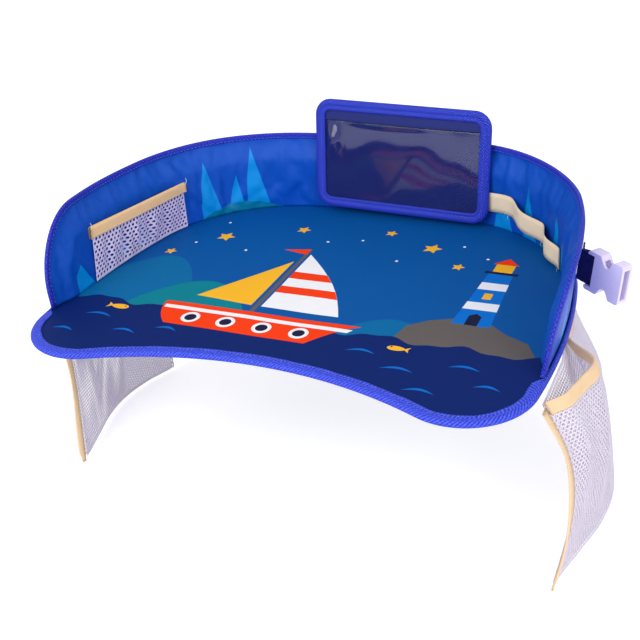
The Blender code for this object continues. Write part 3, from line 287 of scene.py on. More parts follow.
# Spacing of the points in each cloth
OUTLINE_SPACING = 0.005
PRINT_SPACING = 0.007
UNDERSIDE_SPACING = 0.009
PADDING_SPACING = 0.02
WALL_SPACING = 0.003
POUCH_SPACING = 0.008
EDGE_TAPE_STEPS = 340
RIM_CORNER_STEPS = 26
RIM_MIDDLE_STEPS = 170
MOUTH_STEPS = 80
SEAM_TAPE_STEPS = 44
FILM_COLUMNS = 96
FILM_ROWS = 52

# Stitches: pitch, sewn share of it and radius of the thread
EDGE_STITCH = (0.0034, 0.66, 0.00028)
RIM_STITCH = (0.0036, 0.66, 0.00026)
POUCH_STITCH = (0.0030, 0.66, 0.00025)
BOX_STITCH = (0.0026, 0.66, 0.00022)
MOUTH_STITCH = (0.0028, 0.66, 0.0002)
BAND_STITCH = (0.0026, 0.70, 0.0002)
TACK_STITCH = (0.0021, 0.70, 0.00022)
BAND_THREAD_RADIUS = 0.00022
TACK_THREAD_RADIUS = 0.0002

# How far each row of stitches is from its tape's edge
EDGE_STITCH_INSET = 0.0019
EDGE_STITCH_INSET_BESIDE_WALL = 0.0011
RIM_INNER_STITCH_INSET = 0.0011
RIM_OUTER_STITCH_INSET = 0.0016
BAND_STITCH_INSET = 0.0012
MOUTH_STITCH_INSET = 0.0014

# Unevenness of the edge tape
EDGE_WOBBLE = 0.00012
EDGE_FINE_WOBBLE = 0.00008
WIDE_FLANGE = 0.006
FULL_FLANGE = 0.008

# Section of a tape folded over an edge
FOLD_EASE = 0.0001
FOLD_CROWN = 0.0005
FOLD_START = 0.0008
FOLD_INNER_START = 0.0009

# Pitch of the threads in each cloth and tape
WEAVE_PITCH = 0.0007
ELASTIC_CORD_PITCH = 0.0011
ELASTIC_THREAD_PITCH = 0.0009
NET_STITCH_PITCH = 0.0010
WEBBING_RIB_PITCH = 0.0013

# Light: share of the white surround, the floor's own glow, and each lamp's place, size and power
AMBIENT = 0.55
FLOOR_GLOW = 0.5
FLOOR_SIZE = 3.0
FLOOR_GAP = 0.0015
LAMPS = (("key_lamp", (-0.5, -1.5, 1.0), 1.2, 21.0), ("fill_lamp", (1.4, -1.0, 0.8), 1.1, 14.0),
         ("top_lamp", (0.2, 0.9, 1.5), 1.2, 2.0))

# Camera, read off the photograph
CAMERA_EYE = (0.3419, -0.6925, 0.3994)
CAMERA_RIGHT = (0.9097, 0.4063, -0.0863)
CAMERA_UP = (-0.1301, 0.4761, 0.8696)
CAMERA_BACK = (0.3945, -0.7799, 0.4859)
CAMERA_PIXELS = 640
CAMERA_FOCUS_PIXELS = 1040.12
SENSOR = 36.0


# Helper curves

def smooth_step(value):
    """Rise from 0 to 1 with level ends."""
    value = min(max(value, 0.0), 1.0)
    return value * value * (3 - 2 * value)


def smooth_table(values, share):
    """Read a table of evenly spaced values along one smooth curve."""
    last = len(values) - 1
    place = min(max(share, 0.0), 1.0) * last
    i = min(int(place), last - 1)
    t = place - i
    before = values[max(i - 1, 0)]
    after = values[min(i + 2, last)]
    start, end = values[i], values[i + 1]
    return (start + t / 2 * (end - before)
            + t * t * (before - 2.5 * start + 2 * end - after / 2)
            + t * t * t / 2 * (3 * start - before - 3 * end + after))


def srgb(red, green, blue):
    """A colour as seen on screen, 0 to 255, as the linear numbers that shaders take."""
    out = []
    for value in (red, green, blue):
        share = value / 255
        out.append(share / 12.92 if share <= 0.04045 else ((share + 0.055) / 1.055) ** 2.4)
    return (*out, 1.0)


# Materials

def add_node(tree, kind, inputs=None, **settings):
    """A shader node with its settings and with its inputs set or linked."""
    made = tree.nodes.new(kind)
    for key, value in settings.items():
        setattr(made, key, value)
    for socket, value in (inputs or {}).items():
        if isinstance(value, bpy.types.NodeSocket):
            tree.links.new(value, made.inputs[socket])
        else:
            made.inputs[socket].default_value = value
    return made


def calculate(tree, operation, first, second=0.0, third=0.0):
    """One step of arithmetic in a shader."""
    values = {0: first, 1: second, 2: third}
    return add_node(tree, "ShaderNodeMath", values, operation=operation).outputs[0]


def weighted_sum(tree, first, first_share, second, second_share):
    """Two values in a shader, added by their shares."""
    return calculate(tree, "ADD", calculate(tree, "MULTIPLY", first, first_share),
                     calculate(tree, "MULTIPLY", second, second_share))


def paint(tree, shader, factor, dark, light):
    """Colour a surface between two colours."""
    mixed = add_node(tree, "ShaderNodeMix", {0: factor, 6: dark, 7: light}, data_type="RGBA")
    tree.links.new(mixed.outputs[2], shader.inputs["Base Color"])


def surface_lengths(tree):
    """Lengths along and across a piece, in metres, from its UV map."""
    uv = add_node(tree, "ShaderNodeUVMap", uv_map="lengths")
    split = add_node(tree, "ShaderNodeSeparateXYZ", {0: uv.outputs[0]})
    return uv.outputs[0], split.outputs[0], split.outputs[1]


def ribs(tree, length, pitch):
    """A wave from -1 to 1 that repeats every pitch."""
    return calculate(tree, "SINE", calculate(tree, "MULTIPLY", length, 2 * pi / pitch))


def cloudy(tree, where, scale, detail=3.0):
    """Soft noise from 0 to 1."""
    values = {"Vector": where, "Scale": scale, "Detail": detail}
    return add_node(tree, "ShaderNodeTexNoise", values).outputs[0]


def new_material(name, roughness, **sockets):
    """A material and its shader, with the values that are the same all over."""
    material = bpy.data.materials.new(name)
    material.use_nodes = True
    tree = material.node_tree
    shader = tree.nodes["Principled BSDF"]
    shader.inputs["Roughness"].default_value = roughness
    for socket, value in sockets.items():
        shader.inputs[socket.replace("_", " ")].default_value = value
    return material, tree, shader


def bump(tree, shader, height, depth, strength=1.0):
    """Relief of a depth in metres."""
    made = add_node(tree, "ShaderNodeBump", {"Height": height, "Distance": depth, "Strength": strength})
    tree.links.new(made.outputs[0], shader.inputs["Normal"])


def shaded(colour, share):
    """The colour made darker or lighter by a share."""
    return (*(min(value * share, 1.0) for value in colour[:3]), 1.0)


def uneven_gloss(tree, shader, noise, spread, low):
    """Let the roughness wander with a noise."""
    tree.links.new(calculate(tree, "MULTIPLY_ADD", noise, spread, low), shader.inputs["Roughness"])


def cloth_finish(name, colour, roughness=0.6, gloss=0.2):
    """Plain woven polyester: crossing threads, and a faint unevenness of dye."""
    material, tree, shader = new_material(name, roughness, Specular_IOR_Level=gloss)
    where, along, across = surface_lengths(tree)
    threads = calculate(tree, "MULTIPLY", ribs(tree, along, WEAVE_PITCH), ribs(tree, across, WEAVE_PITCH))
    relief = calculate(tree, "MULTIPLY_ADD", threads, 0.16, 0.5)
    factor = weighted_sum(tree, relief, 0.5, cloudy(tree, where, 45.0), 0.5)
    paint(tree, shader, factor, shaded(colour, 0.93), shaded(colour, 1.07))
    bump(tree, shader, threads, 0.00006, 0.6)
    return material


def tape_finish(name, dark, light, pitch, crossing):
    """Twill tape: slanting ribs, crossed by a share of the opposite slant that cuts them into dots."""
    material, tree, shader = new_material(name, 0.6, Specular_IOR_Level=0.3)
    where, along, across = surface_lengths(tree)
    rising, falling = [calculate(tree, "ADD", ribs(tree, calculate(tree, way, along, across), pitch), 1.0)
                       for way in ("ADD", "SUBTRACT")]
    crossed = calculate(tree, "MULTIPLY", rising, falling)
    twill = weighted_sum(tree, crossed, crossing / 4, rising, (1 - crossing) / 2)
    glints = calculate(tree, "POWER", cloudy(tree, where, 620.0, 2.0), 3.0)
    factor = calculate(tree, "SUBTRACT", weighted_sum(tree, twill, 0.7, glints, 1.6), 0.12)
    factor.node.use_clamp = True
    paint(tree, shader, factor, dark, light)
    bump(tree, shader, twill, 0.00015)
    return material


def elastic_finish(name, colour):
    """Flat elastic: fine cords along it and small crossing threads."""
    material, tree, shader = new_material(name, 0.8, Specular_IOR_Level=0.2)
    where, along, across = surface_lengths(tree)
    crossing = calculate(tree, "MULTIPLY", ribs(tree, along, ELASTIC_THREAD_PITCH), 0.35)
    height = calculate(tree, "ADD", ribs(tree, across, ELASTIC_CORD_PITCH), crossing)
    factor = weighted_sum(tree, height, 0.16, cloudy(tree, where, 120.0), 0.8)
    paint(tree, shader, factor, shaded(colour, 0.88), shaded(colour, 1.05))
    bump(tree, shader, height, 0.0001)
    return material


def net_finish(name, colour):
    """Knitted net cord: matt, with the small unevenness of its stitches."""
    material, tree, shader = new_material(name, 0.8, Specular_IOR_Level=0.2)
    where, along, across = surface_lengths(tree)
    stitches = calculate(tree, "MULTIPLY", ribs(tree, along, NET_STITCH_PITCH),
                         ribs(tree, across, NET_STITCH_PITCH))
    paint(tree, shader, cloudy(tree, where, 200.0), shaded(colour, 0.92), shaded(colour, 1.04))
    bump(tree, shader, stitches, 0.00012)
    return material


def webbing_finish(name, dark, light):
    """Flat woven webbing: steep slanting ribs between two firm edges."""
    material, tree, shader = new_material(name, 0.6, Specular_IOR_Level=0.3)
    where, along, across = surface_lengths(tree)
    slanted = calculate(tree, "ADD", calculate(tree, "MULTIPLY", along, 0.6), across)
    rows = ribs(tree, slanted, WEBBING_RIB_PITCH)
    paint(tree, shader, weighted_sum(tree, rows, 0.3, cloudy(tree, where, 150.0), 0.8), dark, light)
    bump(tree, shader, rows, 0.00016)
    return material


def object_places(tree):
    """Places in the object's own frame, for the pieces that have no UV map."""
    return add_node(tree, "ShaderNodeTexCoord").outputs["Object"]


def moulded_finish(name, colour):
    """Moulded plastic with a faint grain in its gloss."""
    material, tree, shader = new_material(name, 0.3, Coat_Weight=0.15, Coat_Roughness=0.2)
    where = object_places(tree)
    grain = cloudy(tree, where, 900.0, 2.0)
    paint(tree, shader, cloudy(tree, where, 60.0), shaded(colour, 0.96), shaded(colour, 1.03))
    uneven_gloss(tree, shader, grain, 0.14, 0.22)
    bump(tree, shader, grain, 0.00003, 0.5)
    return material


def pile_finish(name, colour, scale):
    """Hook and loop pile, foam or pressed board: a close, rough grain."""
    material, tree, shader = new_material(name, 0.9)
    grain = cloudy(tree, object_places(tree), scale, 4.0)
    paint(tree, shader, grain, shaded(colour, 0.7), shaded(colour, 1.25))
    bump(tree, shader, grain, 0.0003)
    return material


def film_finish(name):
    """Clear film: glossy, a little uneven, and faintly blue where it is seen at a slant."""
    material, tree, shader = new_material(name, 0.06, Transmission_Weight=1.0, IOR=1.38,
                                          Specular_IOR_Level=0.3)
    where, along, across = surface_lengths(tree)
    smears = cloudy(tree, where, 28.0, 2.0)
    uneven_gloss(tree, shader, smears, 0.08, 0.02)
    paint(tree, shader, smears, srgb(200, 208, 236), srgb(226, 230, 248))
    low = calculate(tree, "MULTIPLY", across, 0.15)
    upright = add_node(tree, "ShaderNodeCombineXYZ", {0: along, 1: low})
    bump(tree, shader, cloudy(tree, upright.outputs[0], 26.0, 0.0), 0.0012, 0.4)
    return material


COLOURS = {
    "sky": srgb(0, 84, 158),
    "sea": srgb(2, 32, 100),
    "wave": srgb(0, 104, 196),
    "hill": srgb(0, 126, 142),
    "far_hill": srgb(0, 104, 160),
    "red": srgb(248, 62, 8),
    "white": srgb(244, 244, 248),
    "yellow": srgb(255, 186, 40),
    "rock": srgb(98, 92, 90),
    "tower": srgb(0, 112, 206),
    "dark": srgb(20, 24, 56),
    "wall": srgb(4, 78, 186),
    "wall_sail": srgb(0, 142, 222),
    "wall_wave": srgb(0, 120, 160),
}
PRINT = {key: cloth_finish("print_" + key, colour, 0.65, 0.1) for key, colour in COLOURS.items()
         if not key.startswith("wall")}
WALL_PRINT = {key: cloth_finish("print_" + key, colour, 0.42, 0.2)
              for key, colour in COLOURS.items() if key.startswith("wall")}
UNDER_CLOTH = cloth_finish("under_cloth", srgb(10, 40, 110), 0.65)
OUTER_CLOTH = cloth_finish("outer_cloth", srgb(8, 80, 200), 0.5, 0.3)
LINING_CLOTH = cloth_finish("lining_cloth", srgb(20, 34, 112), 0.5, 0.3)
EDGE_TAPE = tape_finish("edge_tape", srgb(20, 28, 172), srgb(82, 108, 248), 0.0029, 0.35)
RIM_TAPE = tape_finish("rim_tape", srgb(8, 14, 138), srgb(58, 84, 242), 0.0030, 1.0)
POUCH_TAPE = tape_finish("pouch_tape", srgb(10, 20, 128), srgb(58, 84, 240), 0.0028, 0.6)
THREAD = elastic_finish("blue_thread", srgb(92, 118, 240))
CREAM_THREAD = elastic_finish("cream_thread", srgb(252, 240, 226))
CREAM = elastic_finish("cream_elastic", srgb(255, 218, 176))
WARM_CREAM = elastic_finish("warm_cream_elastic", srgb(255, 210, 160))
# A lighter copy of the cream elastic: painted light for the pencil band, which faces away from the lamps.
LIT_CREAM = elastic_finish("cream_elastic_painted_light", srgb(255, 232, 198))
NET = net_finish("lilac_net", srgb(228, 216, 255))
# A lighter copy of the net: painted light that lifts the side nets out of the shade under the tray.
LIT_SIDE_NET = net_finish("side_net_painted_light", srgb(244, 236, 255))
WEBBING_NAVY = webbing_finish("navy_webbing", srgb(8, 6, 70), srgb(34, 30, 120))
PLASTIC = moulded_finish("pale_plastic", srgb(226, 216, 250))
FILM = film_finish("clear_film")
PILE = pile_finish("hook_pile", srgb(14, 40, 120), 2600.0)
FOAM = pile_finish("white_foam", srgb(232, 232, 226), 1200.0)
BOARD_FINISH = pile_finish("pressed_board", srgb(214, 212, 204), 700.0)


# Meshes

def new_piece(name, points, faces, finishes, lengths=None, indices=None):
    """A smooth mesh piece, with lengths as its UV map, one pair for each face corner."""
    mesh = bpy.data.meshes.new(name)
    mesh.from_pydata([tuple(point) for point in points], [], faces)
    if lengths:
        layer = mesh.uv_layers.new(name="lengths")
        layer.data.foreach_set("uv", [value for pair in lengths for value in pair])
    for finish in finishes:
        mesh.materials.append(finish)
    if indices is not None:
        mesh.polygons.foreach_set("material_index", indices)
    mesh.shade_smooth()
    piece = bpy.data.objects.new(name, mesh)
    bpy.context.scene.collection.objects.link(piece)
    return piece


def running_lengths(points):
    """Distance walked up to each point."""
    out = [0.0]
    for first, second in zip(points, points[1:]):
        out.append(out[-1] + (second - first).length)
    return out


def sweep(name, rings, finish, cyclic=False):
    """A closed body through rings of points, with lengths along it and round it."""
    count = len(rings[0])
    total = len(rings)
    lines = rings + [rings[0]] if cyclic else rings
    along = running_lengths([ring[0].lerp(ring[count // 2], 0.5) for ring in lines])
    around = running_lengths(rings[total // 2] + [rings[total // 2][0]])
    faces, lengths = [], []
    for i in range(len(lines) - 1):
        near, far = i * count, (i + 1) % total * count
        for j in range(count):
            k = (j + 1) % count
            faces.append((near + j, near + k, far + k, far + j))
            lengths += [(along[i], around[j]), (along[i], around[j + 1]),
                        (along[i + 1], around[j + 1]), (along[i + 1], around[j])]
    if not cyclic:
        for start in (0, (total - 1) * count):
            faces.append(tuple(range(start, start + count)))
            lengths += [(0.0, around[j]) for j in range(count)]
    return new_piece(name, [point for ring in rings for point in ring], faces, [finish], lengths)


def grid_faces(columns, rows, first=0):
    """Quads of a grid of points that runs row by row, with (columns + 1) points in a row."""
    faces = []
    for j in range(rows):
        for i in range(columns):
            corner = first + j * (columns + 1) + i
            faces.append((corner, corner + 1, corner + columns + 2, corner + columns + 1))
    return faces


def sheet(name, columns, rows, place, size, finishes, thickness):
    """A grid of points that place(share, share) puts in space; size is its flat width and length."""
    points = [place(i / columns, j / rows) for j in range(rows + 1) for i in range(columns + 1)]
    faces = grid_faces(columns, rows)
    flat = [(size[0] * i / columns, size[1] * j / rows)
            for j in range(rows + 1) for i in range(columns + 1)]
    lengths = [flat[k] for face in faces for k in face]
    piece = new_piece(name, points, faces, finishes, lengths)
    thicken(piece, thickness)
    return piece


def thicken(piece, thickness, offset=0.0):
    """Give a sheet its thickness."""
    shell = piece.modifiers.new("thickness", "SOLIDIFY")
    shell.thickness = thickness
    shell.offset = offset


def lattice_sheet(name, columns, rows, place, size, finish, hole, thickness=0.0005):
    """A knitted net: six-sided cells in staggered rows, each with a hole through it."""
    places, points, faces, flat = {}, [], [], []

    def corner(u, v, low=0.0):
        u = min(max(u, low / size[0]), 1 - low / size[0])
        v = min(max(v, low / size[1]), 1 - low / size[1])
        key = (round(u * 1e5), round(v * 1e5))
        if key not in places:
            places[key] = len(points)
            points.append(place(u, v))
            flat.append((u * size[0], v * size[1]))
        return places[key]

    wide, high = 1 / columns, 1 / rows
    ring = ((0.0, 2 / 3), (0.5, 1 / 3), (0.5, -1 / 3), (0.0, -2 / 3), (-0.5, -1 / 3), (-0.5, 1 / 3))
    edge = NET_CORD
    for j in range(rows + 1):
        for i in range(columns + 1):
            u = (i + j % 2 / 2) * wide
            v = j * high
            outer = [corner(u + x * wide, v + y * high) for x, y in ring]
            inner = [corner(u + x * wide * hole, v + y * high * hole, edge) for x, y in ring]
            for k in range(6):
                m = (k + 1) % 6
                face = []
                for index in (outer[k], outer[m], inner[m], inner[k]):
                    if index not in face:
                        face.append(index)
                if len(face) > 2:
                    faces.append(tuple(face))
    lengths = [flat[k] for face in faces for k in face]
    piece = new_piece(name, points, faces, [finish], lengths)
    thicken(piece, thickness)
    return piece


def dress(piece, nodes):
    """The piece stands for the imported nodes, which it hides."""
    if nodes:
        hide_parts(*nodes)
    return piece


def take_over(piece, body, slot, *nodes):
    """The piece rides on the body and stands for the nodes; the slot is not used."""
    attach(piece, body)
    return dress(piece, nodes)


def stitch_row(name, starts, ends, ups, radius, finish):
    """Stitches: each a short thread that dips into the cloth at both ends."""
    points, faces = [], []
    sides = 6
    for start, end, up in zip(starts, ends, ups):
        along = (end - start).normalized()
        across = along.cross(up).normalized()
        for share, size, lift in ((0.0, 0.45, -0.7), (0.2, 1.0, 0.1), (0.8, 1.0, 0.1), (1.0, 0.45, -0.7)):
            middle = start.lerp(end, share) + up * radius * lift
            for k in range(sides):
                angle = 2 * pi * k / sides
                points.append(middle + (across * cos(angle) + up * sin(angle)) * radius * size)
        first = len(points) - 4 * sides
        for ring in range(3):
            for k in range(sides):
                m = (k + 1) % sides
                low = first + ring * sides
                faces.append((low + k, low + m, low + sides + m, low + sides + k))
        faces.append(tuple(range(first + sides - 1, first - 1, -1)))
        faces.append(tuple(range(first + 3 * sides, first + 4 * sides)))
    lengths = [(points[k].x, points[k].y) for face in faces for k in face]
    return new_piece(name, points, faces, [finish], lengths)


def stitches_along(name, spots, ups, stitch, finish):
    """A row of stitches of one pitch along a line of spots."""
    pitch, share, radius = stitch
    walked = running_lengths(spots)
    starts, ends, lifts = [], [], []

    def at(length):
        i = int(np.searchsorted(walked, length)) - 1
        i = min(max(i, 0), len(spots) - 2)
        t = (length - walked[i]) / max(walked[i + 1] - walked[i], 1e-9)
        return spots[i].lerp(spots[i + 1], t), ups[i].lerp(ups[i + 1], t).normalized()

    for k in range(int(walked[-1] / pitch)):
        start, up = at(k * pitch + pitch / 4)
        end, _ = at(k * pitch + pitch / 4 + pitch * share)
        starts.append(start)
        ends.append(end)
        lifts.append(up)
    return stitch_row(name, starts, ends, lifts, radius, finish)


def sew(name, spots, ups, stitch, finish, body="tray"):
    """Stitches along a line of spots that ride on a body."""
    return take_over(stitches_along(name, spots, ups, stitch, finish), body, None)


def loose_thread(name, root, steps, radius):
    """A loose thread end: it leaves its root and runs through a few steps from it."""
    path = [root] + [root + step for step in steps]
    rings = []
    for i, point in enumerate(path):
        ahead = (path[min(i + 1, len(path) - 1)] - path[max(i - 1, 0)]).normalized()
        side = ahead.orthogonal().normalized()
        other = ahead.cross(side)
        size = radius * (1.0 if i < len(path) - 1 else 0.5)
        rings.append([point + (side * cos(2 * pi * k / 5) + other * sin(2 * pi * k / 5)) * size
                      for k in range(5)])
    take_over(sweep(name, rings, CREAM_THREAD), "tray", None)


# Tray outline

def outline_arcs():
    """Radius, turn, centre, heading and length of each arc of the right half."""
    arcs = []
    spot = Vector((0.0, -FRONT_TO_ORIGIN))
    heading = 0.0
    turns = ((FRONT_RADIUS, FRONT_TURN), (LOBE_RADIUS, LOBE_TURN),
             (SIDE_RADIUS, SIDE_TURN), (CORNER_RADIUS, CORNER_TURN))
    for radius, turn in turns:
        sign = 1 if turn > 0 else -1
        centre = spot + Vector((-sin(heading), cos(heading))) * radius * sign
        arcs.append((radius, turn, centre, heading, abs(radius * turn)))
        heading += turn
        spot = centre - Vector((-sin(heading), cos(heading))) * radius * sign
    turn = pi - heading
    radius = spot.x / sin(turn)
    centre = spot + Vector((-sin(heading), cos(heading))) * radius
    arcs.append((radius, turn, centre, heading, radius * turn))
    return arcs


ARCS = outline_arcs()
HALF_LENGTH = sum(arc[4] for arc in ARCS)
LOBE_END = ARCS[0][4] + ARCS[1][4]
WALL_FIRST = LOBE_END + WALL_SETBACK_RIGHT
WALL_LENGTH = 2 * HALF_LENGTH - LOBE_END - WALL_SETBACK_LEFT - WALL_FIRST


def outline_station(distance):
    """Point on the outline and its outward normal, at a distance from the front centre."""
    distance = distance % (2 * HALF_LENGTH)
    mirrored = distance > HALF_LENGTH
    if mirrored:
        distance = 2 * HALF_LENGTH - distance
    for radius, turn, centre, heading, length in ARCS[:-1]:
        if distance <= length:
            break
        distance -= length
    else:
        radius, turn, centre, heading, length = ARCS[-1]
    sign = 1 if turn > 0 else -1
    heading = heading + sign * distance / radius
    outward = Vector((sin(heading), -cos(heading)))
    point = centre + outward * radius * sign
    if mirrored:
        point.x = -point.x
        outward.x = -outward.x
    return point, outward


def tray_outline(inset, spacing):
    """The tray's outline, drawn in by an inset."""
    count = ceil(2 * HALF_LENGTH / spacing)
    stations = [outline_station(2 * HALF_LENGTH * k / count) for k in range(count)]
    return [point - outward * inset for point, outward in stations]


# Printed cloth, cut along every printed edge so that each colour has its own faces

def with_short_edges(loop, longest):
    """The loop with points added so that no edge is longer than that."""
    out = []
    for i, point in enumerate(loop):
        after = loop[(i + 1) % len(loop)]
        steps = max(1, ceil((Vector(after) - Vector(point)).length / longest))
        out += [Vector(point).lerp(Vector(after), k / steps) for k in range(steps)]
    return out


def inside(loop, points):
    """Which of the points are inside the loop."""
    x, y = points[:, 0], points[:, 1]
    found = np.zeros(len(points), bool)
    for i, (ax, ay) in enumerate(loop):
        bx, by = loop[i - 1]
        if ay == by:
            continue
        crosses = (ay > y) != (by > y)
        found ^= crosses & (x < (bx - ax) * (y - ay) / (by - ay) + ax)
    return found


def printed_sheet(name, outline, shapes, spacing, lift, finishes, thickness, offset):
    """Cloth with a print: shapes are (finish name, loop) from the lowest to the topmost."""
    loops = [with_short_edges(outline, spacing)]
    loops += [with_short_edges(loop, spacing) for _, loop in shapes]
    points = [point for loop in loops for point in loop]
    edges = []
    first = 0
    for loop in loops:
        edges += [(first + k, first + (k + 1) % len(loop)) for k in range(len(loop))]
        first += len(loop)
    known = np.array([(p.x, p.y) for p in points])
    low, high = known.min(0), known.max(0)
    grid = [(x + (row % 2) * spacing / 2, y)
            for row, y in enumerate(np.arange(low[1], high[1], spacing * 0.87))
            for x in np.arange(low[0], high[0], spacing)]
    grid = np.array(grid)
    grid = grid[inside([tuple(p) for p in loops[0]], grid)]
    clear = [((known - spot) ** 2).sum(1).min() > (spacing * 0.4) ** 2 for spot in grid]
    points += [Vector(spot) for spot, free in zip(grid, clear) if free]
    flat, _, faces, _, _, _ = delaunay_2d_cdt(points, edges, [], 0, 1e-7)
    flat = np.array([(p.x, p.y) for p in flat])
    middles = np.array([flat[list(face)].mean(0) for face in faces])
    kept = inside([tuple(p) for p in loops[0]], middles)
    faces = [face for face, keep in zip(faces, kept) if keep]
    middles = middles[kept]
    used = sorted({k for face in faces for k in face})
    number = {k: new for new, k in enumerate(used)}
    faces = [tuple(number[k] for k in face) for face in faces]
    flat = flat[used]
    keys = list(finishes)
    indices = np.zeros(len(faces), int)
    for key, loop in shapes:
        indices[inside([tuple(p) for p in loop], middles)] = keys.index(key)
    lengths = [tuple(flat[k]) for face in faces for k in face]
    piece = new_piece(name, [lift(x, y) for x, y in flat], faces, list(finishes.values()),
                      lengths, indices)
    thicken(piece, thickness, offset)
    return piece


def circle(x, y, radius, steps=24):
    """A round loop."""
    return [(x + radius * cos(2 * pi * k / steps), y + radius * sin(2 * pi * k / steps))
            for k in range(steps)]


def star(x, y, radius, turn=0.0):
    """A five-pointed star with full arms."""
    return [(x + radius * (1 if k % 2 == 0 else 0.5) * sin(pi * k / 5 + turn),
             y + radius * (1 if k % 2 == 0 else 0.5) * cos(pi * k / 5 + turn)) for k in range(10)]


def mound(left, right, foot, height, steps=18):
    """A round hill between two places."""
    top = [(left + (right - left) * k / steps, foot + height * sin(pi * k / steps) ** 0.8)
           for k in range(steps + 1)]
    return [(left, foot - 20)] + top + [(right, foot - 20)]


def sail(left, right, foot, top, lean):
    """A sail: a level foot, a straight edge to its tip and a full curved edge back."""
    steps = 8
    curved = []
    for k in range(steps + 1):
        share = k / steps
        curved.append((lean + (right - lean) * share + (right - left) * 0.12 * sin(pi * share),
                       top + (foot - top) * share))
    return [(left, foot)] + curved


def crest(x, y, width, height):
    """A short wave mark: a thin crescent."""
    steps = 10
    upper = [(x + width * (k / steps - 0.5), y + height * sin(pi * k / steps)) for k in range(steps + 1)]
    lower = [(x + width * (k / steps - 0.5), y + height * 0.45 * sin(pi * k / steps))
             for k in range(steps - 1, 0, -1)]
    return upper + lower


def fish(x, y, size, facing):
    """A leaping fish, as a body loop and a tail loop."""
    turns = [2 * pi * k / 20 for k in range(20)]
    body = [(x + facing * size * cos(turn), y + size * 0.45 * sin(turn) * (1 + 0.1 * cos(turn)))
            for turn in turns]
    tail = [(x - facing * size * 0.8, y), (x - facing * size * 1.5, y + size * 0.5),
            (x - facing * size * 1.35, y), (x - facing * size * 1.5, y - size * 0.5)]
    return body, tail


def slab(x, low, high, half, upper_half=None):
    """An upright four-sided loop round x; upper_half is for a top of another width."""
    if upper_half is None:
        upper_half = half
    return [(x - half, low), (x + half, low), (x + upper_half, high), (x - upper_half, high)]


def sea_line(x):
    """Height of the sea's edge in the print."""
    return -72 + 3.5 * sin(2 * pi * x / 62) + 1.5 * sin(2 * pi * x / 27)


def tray_picture():
    """A sailing boat off a lighthouse at dusk, in millimetres on the tray."""
    shapes = [("far_hill", mound(-215, -95, -74, 88)), ("hill", mound(-150, -40, -74, 52)),
              ("far_hill", mound(40, 120, -74, 30))]
    rock = [(84, -80), (90, -50), (104, -38), (122, -30), (150, -31), (166, -44), (184, -52), (200, -80)]
    shapes.append(("rock", rock))
    shapes += lighthouse(136, -33)
    shore = [(x, sea_line(x)) for x in range(-230, 231, 5)]
    shapes.append(("sea", shore + [(230, -200), (-230, -200)]))
    shapes += boat(-34, -62)
    for x, y, width in ((-160, -100, 26), (-124, -118, 22), (-92, -106, 20), (70, -96, 24),
                        (104, -112, 26), (150, -98, 24), (172, -118, 20), (-176, -128, 20),
                        (128, -134, 24)):
        shapes.append(("wave", crest(x, y, width, 5)))
    for x, y, size, facing in ((-150, -82, 8, 1), (94, -84, 7, -1)):
        body, tail = fish(x, y, size, facing)
        eye = circle(x + facing * size * 0.55, y + 1.2, 0.9, 8)
        shapes += [("yellow", tail), ("yellow", body), ("dark", eye)]
    for x, y, size in ((-128, 62, 9), (-62, 92, 7), (66, 82, 9), (20, 104, 6), (-164, 22, 6), (98, 54, 6)):
        shapes.append(("yellow", star(x, y, size, 0.2)))
    for x, y in ((-96, 40), (-30, 74), (44, 52), (-140, 92), (92, 92), (0, 84), (-150, 44), (118, 74)):
        shapes.append(("white", circle(x, y, 1.4, 10)))
    return shapes


def lighthouse(x, foot):
    """A blue tower with pale bands, yellow windows and a lamp room."""
    def band(low, high):
        return slab(x, foot + low, foot + high, 15 - 5 * low / 82, 15 - 5 * high / 82)

    door = [(x - 5, foot - 4), (x + 5, foot - 4), (x + 5, foot + 10), (x, foot + 14), (x - 5, foot + 10)]
    roof = [(x - 11, foot + 100), (x + 11, foot + 100), (x, foot + 112)]
    return [("tower", band(-4, 82)), ("white", band(20, 32)), ("white", band(54, 66)), ("dark", door),
            ("yellow", slab(x, foot + 38, foot + 48, 3.5)), ("dark", slab(x, foot + 82, foot + 86, 14)),
            ("yellow", slab(x, foot + 86, foot + 100, 8)), ("red", roof)]


def boat(x, deck):
    """A red boat with round windows, a striped sail, a small sail and a pennant."""
    steps = 10
    stern = [(x - 82 + 16 * (k / steps) ** 2, deck - 34 * k / steps) for k in range(steps + 1)]
    bow = [(x + 92 - 34 * (1 - k / steps) ** 0.7, deck - 34 + 34 * k / steps) for k in range(steps + 1)]
    line = [(x - 79.5, deck - 6), (x + 87, deck - 6), (x + 84, deck - 11), (x - 79, deck - 11)]
    shapes = [("red", stern + bow), ("white", line)]
    for offset in (-48, -16, 16, 48):
        shapes.append(("white", circle(x + offset, deck - 21, 8)))
        shapes.append(("dark", circle(x + offset, deck - 21, 5)))
    mast = x - 4
    left, foot = mast + 4, deck + 10
    shapes.append(("rock", slab(mast, deck, deck + 118, 2, 1.4)))
    shapes.append(("white", sail(left, mast + 72, foot, deck + 108, left)))
    for low in (26, 52):
        ends = []
        for height in (low, low + 12):
            share = 1 - height / 98
            ends.append((left + 68 * share + 8 * sin(pi * share), foot + height))
        shapes.append(("red", [(left, foot + low), *ends, (left, foot + low + 12)]))
    shapes.append(("yellow", [(mast - 5, foot), (mast - 5, deck + 92), (mast - 58, deck + 14)]))
    shapes.append(("red", [(mast, deck + 118), (mast, deck + 107), (mast - 24, deck + 112)]))
    return shapes


def scaled(shapes):
    """The same shapes in metres."""
    return [(key, [(x * MM, y * MM) for x, y in loop]) for key, loop in shapes]


